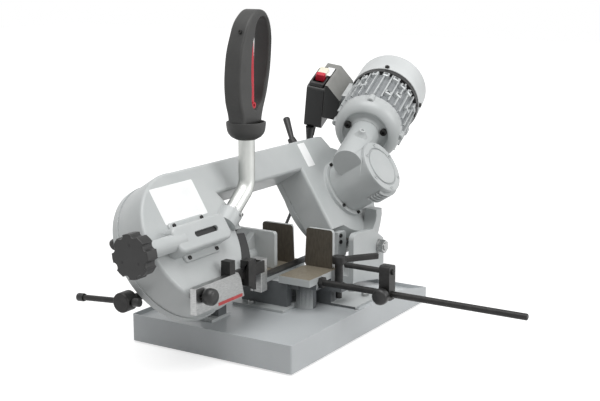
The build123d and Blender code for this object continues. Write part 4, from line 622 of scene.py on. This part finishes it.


# Star knob: a thick disc with eight notches and soft edges, its face drawn back to leave room for the black
# discs of painted shade in its holes
star_back_x = -0.449
star_face_x = -0.4759
star_face_drop = 0.0004
tension_knob = joined_copy("tension_knob")
round_edges(tension_knob, lambda p, sides: p.x < star_back_x and any(abs(n.x) > 0.9 for n in sides), 2.6, 3)
choose_faces(tension_knob, lambda p, n: n.x < -0.99 and p.x < star_face_x)
bpy.ops.transform.translate(value=(star_face_drop, 0, 0))
done()
soften(tension_knob, 0.6)
stand_for(tension_knob, knob_black, "tension_knob")


# Grip: the loop is drawn as an outline with a hand hole, thickened and rounded all along its edges
handle_y = 0.010
grip_foot_z = 0.404
grip_rim = [
    (-155, -5), (-156, 8), (-165, 40), (-165, 98), (-152, 146), (-124, 188), (-92, 198), (-70, 180),
    (-64, 120), (-76, 58), (-95, 8), (-97, -5),
]
grip_hole = [
    (-119, 24), (-126, 62), (-126, 106), (-117, 150), (-102, 181), (-85, 183), (-75, 168), (-73, 120),
    (-86, 64), (-104, 26),
]
grip_line = bpy.data.curves.new("grip_line", "CURVE")
grip_line.dimensions = "2D"
grip_line.fill_mode = "BOTH"
grip_line.extrude = 0.0125
grip_line.bevel_depth = 0.0055
grip_line.bevel_resolution = 4
grip_line.offset = -0.0056
for points, corners in ((grip_rim, (0, len(grip_rim) - 1)), (grip_hole, ())):
    loop = grip_line.splines.new("BEZIER")
    loop.bezier_points.add(len(points) - 1)
    loop.use_cyclic_u = True
    loop.resolution_u = 14
    for k, (knot, (x, z)) in enumerate(zip(loop.bezier_points, points)):
        knot.co = (x / 1000, z / 1000, 0)
        knot.handle_left_type = knot.handle_right_type = "VECTOR" if k in corners else "AUTO"
grip = add_object("grip_finished", grip_line)
hold(grip)
bpy.ops.object.convert(target="MESH")
grip = bpy.context.object
edit_all(grip)
bpy.ops.mesh.remove_doubles(threshold=2 * merge_gap)
bpy.ops.mesh.normals_make_consistent(inside=False)
done()
placed(grip, (0, handle_y, grip_foot_z), FRONTWARD, ALONG)
stand_for(grip, black_nylon, "grip_front", "grip_rear")


# Clamp knobs: turned, with a crowned face
def clamp_knob(node, outline, facing):
    """A turned knob whose crown ends where its CAD node does."""
    low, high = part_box(node)
    crown = outline[0][1]
    seat = (low + high) / 2
    axis = 1 if facing.y else 0
    seat[axis] = low[axis] + crown / 1000
    stand_for(placed(swept(node + "_finished", outline, 40), seat, facing), knob_black, node)


guide_knob_outline = [
    (0.01, 22), (8, 21.6), (11.6, 20.4), (13.8, 17.6), (14.5, 14), (14.4, 8), (12.6, 3), (9.5, 0), (4, 0),
    (4, -27), (0.01, -27),
]
stop_knob_outline = [
    (0.01, 20), (8, 19.7), (12, 18.6), (14.4, 16), (15, 12.6), (15, 6.6), (13.4, 2.4), (9, 0), (4, 0),
    (4, -2.4), (0.01, -2.4),
]
clamp_knob("guide_knob", guide_knob_outline, FRONTWARD)
clamp_knob("stop_knob", stop_knob_outline, LEFTWARD)


# Collar: a tapered cup with a lip round the foot of the grip, drawn at its height above the bench
collar_x = -0.123
collar_outline = [
    (15.1, 372), (18, 372), (19.6, 372.6), (27.4, 377), (32.4, 383), (34.6, 389), (35.8, 398), (36, 403),
    (35.2, 404), (33.4, 404), (32.6, 403), (32.2, 399), (0.01, 399),
]
collar = placed(swept("handle_collar_finished", collar_outline, 48), (collar_x, handle_y, 0), SKYWARD)
stand_for(collar, black_nylon, "handle_collar")

# Handle tube: plain, with no edges to break
stand_for(joined_copy("handle_tube"), chrome, "handle_tube")


# Jaws: dark working faces in painted blocks
jaws = (("fixed_jaw_rear", 0, -1), ("fixed_jaw_front", 0.4, -1), ("moving_jaw", 1.0, 1))
for node, width, stock_side in jaws:
    jaw = joined_copy(node)
    if width:
        soften(jaw, width)
    stand_for(jaw, enamel, node)
    repaint(jaw, jaw_steel, lambda p, n: n.x * stock_side > 0.8)

# Bed: a milled table on legs darkened with painted shade
table_z = 0.112
leg_foot_z = 0.062
leg_top_z = 0.0985
bed = bpy.data.objects["bed_finished"]
repaint(bed, milled_iron, lambda p, n: n.z > 0.9 and p.z > table_z)
# Painted shade on the upright faces of the legs below the table
repaint(bed, leg_shade_enamel, lambda p, n: abs(n.z) < 0.5 and leg_foot_z < p.z < leg_top_z)


# Gearbox cover: a rim ring round a raised flat disc
gear_cover_back = 132
gear_cover_outline = [
    (0.01, 8), (37, 8), (38, 7.2), (38.4, 4.4), (41.6, 4.4), (42, 6.6), (43, 7.4), (53, 7.4), (54.6, 6.6),
    (55, 5.4), (55, 0), (0.01, 0),
]
gear_cover = swept("gearbox_cover_finished", gear_cover_outline, 64)
placed(gear_cover, head_point(drive_x, wheel_v, gear_cover_back), OUTWARD)
stand_for(gear_cover, enamel, "gearbox_cover")


# Motor bell: a dome with a sunk face, the worm tube's flare in the middle of it and four ears on its rim
bell_outline = [
    (9.4, 94), (31, 94), (32.6, 97.4), (36, 100), (45, 100.6), (47.6, 99.8), (48.6, 95.4), (50, 94.2),
    (52.6, 94), (58, 95.6), (64, 99.6), (68.4, 105.4), (70.6, 112), (71, 118), (71, 133.6), (70, 135),
    (63, 135), (63, 104), (9.4, 104),
]
ear_outline = [
    (0.01, 1.4), (2.6, 1.4), (3, 0), (5.4, 0), (6.6, 1), (7, 2.4), (7, 19), (6, 20), (0.01, 20),
]
ear_s = 110
ear_reach = 70.6
bell = placed(swept("motor_flange_finished", bell_outline, 72), MOTOR, MOTOR_LINE, BOX_SIDE)
ear_seats = [(motor_point(ear_s, turn, ear_reach), MOTOR_LINE) for turn in (0, 90, 180, 270)]
ears = copies(swept("bell_ear", ear_outline, 24), ear_seats, "bell_ears")
stand_for(joined([bell, ears], "motor_flange_finished"), enamel, "motor_flange")


# Cap screws of the tension unit, left black, and of the gearbox cover, painted over
flange_screw_x = 38
flange_screw_v = 30
cover_screw_circle = 48
cover_screw_w = 138.6
seats = []
for a in (-1, 1):
    for b in (-1, 1):
        seat = head_point(housing_x + a * flange_screw_x, wheel_v + b * flange_screw_v, flange_front)
        seats.append((seat, OUTWARD))
seats += [drive_seat(cover_screw_circle, 60 * k + 20, cover_screw_w) for k in range(6)]
head_screws = cap_screws("head_screws_finished", 3.6, 2.4, seats)
stand_for(head_screws, blackened, "head_screws")
repaint(head_screws, enamel, lambda p, n: p.x > 0)


# Painted shade on the skin of the motor body between the fins, so the fins stand bright over it
fin_root = 70.5
repaint(bpy.data.objects["motor_body_finished"], fin_gap_shade_aluminium, lambda p, n: motor_reach(p) < fin_root)


# Cap screws in the sunk face of the bell
bell_screw_s = 100.8
bell_screw_circle = 40.5
seats = [(motor_point(bell_screw_s, turn, bell_screw_circle), -MOTOR_LINE) for turn in (17, 163, 270)]
add_on(cap_screws("bell_screws", 7.2, 8.0, seats), "head", blackened)


# Cap screws that hold the fan cover
fan_screw_s = 258
fan_screw_reach = 77.5
seats = [motor_seat(fan_screw_s, turn, fan_screw_reach) for turn in (0, 88, 176, 268)]
add_on(cap_screws("fan_cover_screws", 5.0, 5.0, seats), "head", blackened)


# Black ring painted as the shade in the mouth of the fan cover, behind the fins
shade_ring_outline = [(66, 239), (77.2, 239), (77.6, 239.6), (77.6, 251.6), (66, 251.6), (66, 239)]
shade_ring = placed(swept("fan_cover_shade_ring", shade_ring_outline, 72), MOTOR, MOTOR_LINE, BOX_SIDE)
add_on(shade_ring, "head", black_abs)


# Bosses cast on the fins, each with a sunk eye: places along the shaft and round it
boss_places = (
    (218, 57), (230, 74), (187, 51), (180, 64), (230, 92), (228, 110), (220, 126), (178, 126), (160, 110),
    (222, 141), (178, 154), (220, 168), (186, 200), (222, 215), (180, 250), (222, 262), (186, 300),
    (222, 312),
)
boss_foot_reach = 68.6
boss_rim = 0.0034
boss_eye_depth = 3
eye_floor_low = 73.5
eye_floor_high = 76.5
boss = slab("fin_boss", (15, 14, 9.4), 2.4, 0.8)
choose_faces(boss, lambda p, n: n.z > 0.9)
bpy.ops.mesh.inset(thickness=boss_rim)
sink(boss_eye_depth)
seats = [motor_seat(s, turn, boss_foot_reach) for s, turn in boss_places]
bosses = copies(boss, seats, "motor_fin_bosses", MOTOR_LINE)
add_on(bosses, "head", cast_aluminium)
# The floors of the bosses' sunk eyes get the same painted shade
repaint(bosses, fin_gap_shade_aluminium, lambda p, n: eye_floor_low < motor_reach(p) < eye_floor_high)


# Oil plug on the worm tube
oil_plug_outline = [
    (0.01, 11), (3, 11), (3.2, 13.6), (6.6, 13.6), (7.6, 12.6), (7.8, 9), (9.8, 4), (13, 0), (0.01, 0),
]
oil_plug = placed(swept("oil_plug", oil_plug_outline, 24), *motor_seat(34, 100, 29.5))
add_on(oil_plug, "head", enamel)


# Bare label places on the drum, the arm and the terminal box
film = 0.5
film_edge = 0.2
labels = (
    ("drum_label", (117, 67, film), 3, head_point(-284, 169, casting_front), OUTWARD, ALONG),
    ("arm_label", (26, 52, film), 2, head_point(151, 192, casting_front), OUTWARD, ALONG),
    ("terminal_box_label", (40, 16, film), 2, box_point(238, 126, 50), BOX_UP, MOTOR_LINE),
)
for name, area, corner, seat, facing, line in labels:
    label = placed(slab(name, area, corner, film_edge), seat, facing, line)
    add_on(label, "head", label_film)


# Screws in the rim of the grip
seats = [
    ((-0.1465, 0.004, 0.565), (-0.95, 0, 0.31)),
    ((-0.1605, 0.022, 0.456), (-1, 0, -0.02)),
    ((-0.1605, 0.006, 0.452), (-1, 0, -0.02)),
]
add_on(cap_screws("grip_screws", 3.6, 2.2, seats), "head", blackened)


# Bright ring where the handle tube leaves its boss
boss_foot = Vector((-0.177, handle_y, 0.241))
boss_run = Vector((55, 0, 44)).normalized()
boss_ring_rise = 0.008
boss_ring_outline = [
    (15.1, 0), (17.8, 0), (18.6, 0.8), (18.6, 3.2), (17.8, 4), (15.1, 4), (15.1, 0),
]
boss_ring = swept("handle_boss_ring", boss_ring_outline, 40)
placed(boss_ring, boss_foot + boss_run * boss_ring_rise, boss_run)
add_on(boss_ring, "head", bright_steel)


# Pivot eye at the foot of the trigger
eye_seat = (-0.1205, -0.0045, 0.434)
eye_outline = [(2.4, 0), (2.4, 1.6), (3, 2.2), (5.4, 2.2), (6, 1.6), (6, 0), (2.4, 0)]
eye = placed(swept("trigger_eye", eye_outline, 28), eye_seat, FRONTWARD)
add_on(eye, "trigger", red_abs)


# Red line along the lower edge of the guide bar
red_line_seat = (-0.271, -0.057, 0.1200)
red_line = placed(slab("guide_bar_line", (70, 5.6, 0.4), 0.4), red_line_seat, FRONTWARD, ALONG)
add_on(red_line, "guide_arm", red_paint)


# Cooling ribs under the gearbox: bars with a tapered section, bent round the drive wheel's axis
rib_section = [(52.5, 0), (60.5, 0.8), (60.5, 2.8), (52.5, 3.6)]
rib_sweep = 76
rib_start = 0.9
ribs = []
for w in (94, 101.5, 109, 116.5, 124):
    rib = swept("gearbox_rib", rib_section, 14, rib_sweep)
    ribs.append(placed(rib, head_point(drive_x, wheel_v, w), OUTWARD, start_line(rib_start)))
add_on(joined(ribs, "gearbox_ribs"), "head", enamel, 30)


# Black sheet painted as the shade inside the window of the drum, over the blade
shade_sheet_section = [(105, 16.5), (127, 16.5), (127, 33), (105, 33)]
shade_sheet_sweep = 37
shade_sheet_start = 0.15
shade_sheet = swept("blade_shade_sheet", shade_sheet_section, 16, shade_sheet_sweep)
placed(shade_sheet, head_point(idler_x, wheel_v, 0), OUTWARD, start_line(shade_sheet_start))
add_on(shade_sheet, "head", black_rubber, 30)


# Cap screws in the gearbox ring
ring_front = 43
ring_screw_circle = 58
seats = [drive_seat(ring_screw_circle, turn, ring_front) for turn in (20, 110, 216, 262)]
add_on(cap_screws("gearbox_ring_screws", 3.4, 4.0, seats), "head", blackened)


# Set screw in the side of the handle boss
set_screw_shift = Vector((0.004, -0.020, 0.004))
seats = [(boss_foot + set_screw_shift, FRONTWARD)]
add_on(cap_screws("handle_set_screw", 3.6, 5.0, seats), "head", bright_steel)


# Black discs painted as the shade in the holes of the star knob's face
hole_shade_outline = [(0.01, 0.3), (2.4, 0.3), (2.8, 0), (0.01, 0)]
hole_x = -475.7
hole_circle = 19
star_w = 51.5
seats = []
for a in (0.5, 2.6, 4.7):
    seat = head_point(hole_x, wheel_v + hole_circle * math.cos(a), star_w + hole_circle * math.sin(a))
    seats.append((seat, LEFTWARD))
star_hole_shades = copies(swept("knob_hole_shade", hole_shade_outline, 16), seats, "star_knob_hole_shades")
add_on(star_hole_shades, "tension_knob", black_rubber)


# Screws on the right guide
seats = [((0.129, -0.042, z), FRONTWARD) for z in (0.149, 0.136)]
add_on(cap_screws("right_guide_screws", 4.2, 3.0, seats), "head", blackened)


# Mains cord: its route in metres, then the coil that is put away behind the tray
cord_route = [
    (0.37293, 0.17375, 0.30441), (0.38232, 0.18241, 0.27290), (0.392, 0.196, 0.232), (0.378, 0.208, 0.180),
    (0.352, 0.214, 0.130), (0.318, 0.217, 0.086), (0.278, 0.219, 0.050), (0.234, 0.222, 0.024),
    (0.190, 0.228, 0.0035), (0.152, 0.240, 0.0035), (0.126, 0.268, 0.0035), (0.126, 0.306, 0.0035),
    (0.152, 0.334, 0.0035), (0.190, 0.343, 0.0035), (0.228, 0.344, 0.0035), (0.262, 0.344, 0.0035),
]
# The coil winds inward on the bench, climbs by one pitch, winds outward again and runs straight across to
# the plug, sizes in millimetres; its points stand a little outside the cord, because the curve runs inside
cord_radius = 3.5
coil_middle = Vector((0.269, 0.294, 0))
coil_outer = 50
coil_pitch = 8.5
layer_turns = 3
climb_turns = 0.5
steps_per_turn = 12
point_spread = 1.02
coil_inner = coil_outer - coil_pitch * layer_turns
coil_steps = int((2 * layer_turns + climb_turns) * steps_per_turn)
for k in range(1, coil_steps + 1):
    turns = k / steps_per_turn
    if turns <= layer_turns:
        reach, height = coil_outer - coil_pitch * turns, cord_radius
    elif turns <= layer_turns + climb_turns:
        reach, height = coil_inner, cord_radius + coil_pitch / climb_turns * (turns - layer_turns)
    else:
        reach = coil_inner + coil_pitch * (turns - layer_turns - climb_turns)
        height = cord_radius + coil_pitch
    angle = math.radians(90) - 2 * math.pi * turns
    spread = point_spread * reach / 1000
    x = coil_middle.x + spread * math.cos(angle)
    y = coil_middle.y + spread * math.sin(angle)
    cord_route.append((x, y, height / 1000))
cord_route += [(0.272, 0.34825, 0.012), (0.281, 0.34825, 0.012)]

cord_line = bpy.data.curves.new("mains_cord_line", "CURVE")
cord_line.dimensions = "3D"
run = cord_line.splines.new("NURBS")
run.points.add(len(cord_route) - 1)
for point, place in zip(run.points, cord_route):
    point.co = (*place, 1)
run.order_u = 3
run.use_endpoint_u = True
run.resolution_u = 6
cord = add_object("mains_lead", cord_line)
bpy.context.view_layer.update()
bare = bpy.data.meshes.new_from_object(cord.evaluated_get(bpy.context.evaluated_depsgraph_get()))
bpy.data.meshes.remove(bare)
cord_line.bevel_depth = cord_radius / 1000
cord_line.bevel_resolution = 3
cord_line.use_fill_caps = True
hold(cord)
bpy.ops.object.convert(target="MESH")
cord = bpy.context.object
paint(cord, black_rubber)
bpy.ops.object.shade_smooth_by_angle(angle=math.radians(60))
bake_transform(cord)
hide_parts("mains_cord", "mains_coil")


# Floor, backdrop and light
def seen_rays(tree):
    """A socket that is 1 where the background is seen, straight or in a reflection, and 0 where it lights."""
    path = add_node(tree, "ShaderNodeLightPath")
    seen = path.outputs["Is Camera Ray"]
    for kind in ("Is Glossy Ray", "Is Transmission Ray"):
        either = add_node(tree, "ShaderNodeMath", {"operation": "MAXIMUM"}, _0=seen, _1=path.outputs[kind])
        seen = either.outputs[0]
    return seen


bpy.ops.object.select_all(action="DESELECT")
bpy.ops.mesh.primitive_plane_add(size=16, location=(0, 0, -0.0004))
floor = bpy.context.object
floor.name = "studio_floor"
# Pale matt paper, brighter towards the far edges
paper, paper_tree, paper_shader, paper_place = start_material(
    "pale_paper_floor", Base_Color=linear("#c4c4c4"), Roughness=0.8, Specular_IOR_Level=0.1,
    Emission_Color=(1, 1, 1, 1))
paper_far = add_node(paper_tree, "ShaderNodeVectorMath", {"operation": "LENGTH"}, _0=paper_place)
paper_rise = add_node(paper_tree, "ShaderNodeMapRange",
                      {"From Min": 0.7, "From Max": 2.6, "To Min": 0.68, "To Max": 0.95},
                      Value=paper_far.outputs["Value"])
paper_glow = add_node(paper_tree, "ShaderNodeMath", {"operation": "MULTIPLY"},
                      _0=seen_rays(paper_tree), _1=paper_rise.outputs["Result"])
paper_tree.links.new(paper_glow.outputs[0], paper_shader.inputs["Emission Strength"])
floor.data.materials.append(paper)

world = bpy.data.worlds.new("studio")
world.use_nodes = True
scene.world = world
sky = world.node_tree
sky_level = add_node(sky, "ShaderNodeMapRange", {"To Min": 0.36, "To Max": 1.0}, Value=seen_rays(sky))
sky.nodes["Background"].inputs["Color"].default_value = (1, 1, 1, 1)
sky.links.new(sky_level.outputs["Result"], sky.nodes["Background"].inputs["Strength"])


def soft_light(name, place, size, power):
    """A large area lamp that looks at the middle of the saw."""
    data = bpy.data.lights.new(name, "AREA")
    data.shape = "RECTANGLE"
    data.size, data.size_y = size
    data.energy = power
    stand_and_look(add_object(name, data), place, Vector((0, 0, 0.2)) - Vector(place))


soft_light("top_softbox", (-0.7, -0.3, 2.4), (2.0, 1.8), 45)
soft_light("right_softbox", (0.6, -2.4, 1.2), (1.6, 1.6), 26)
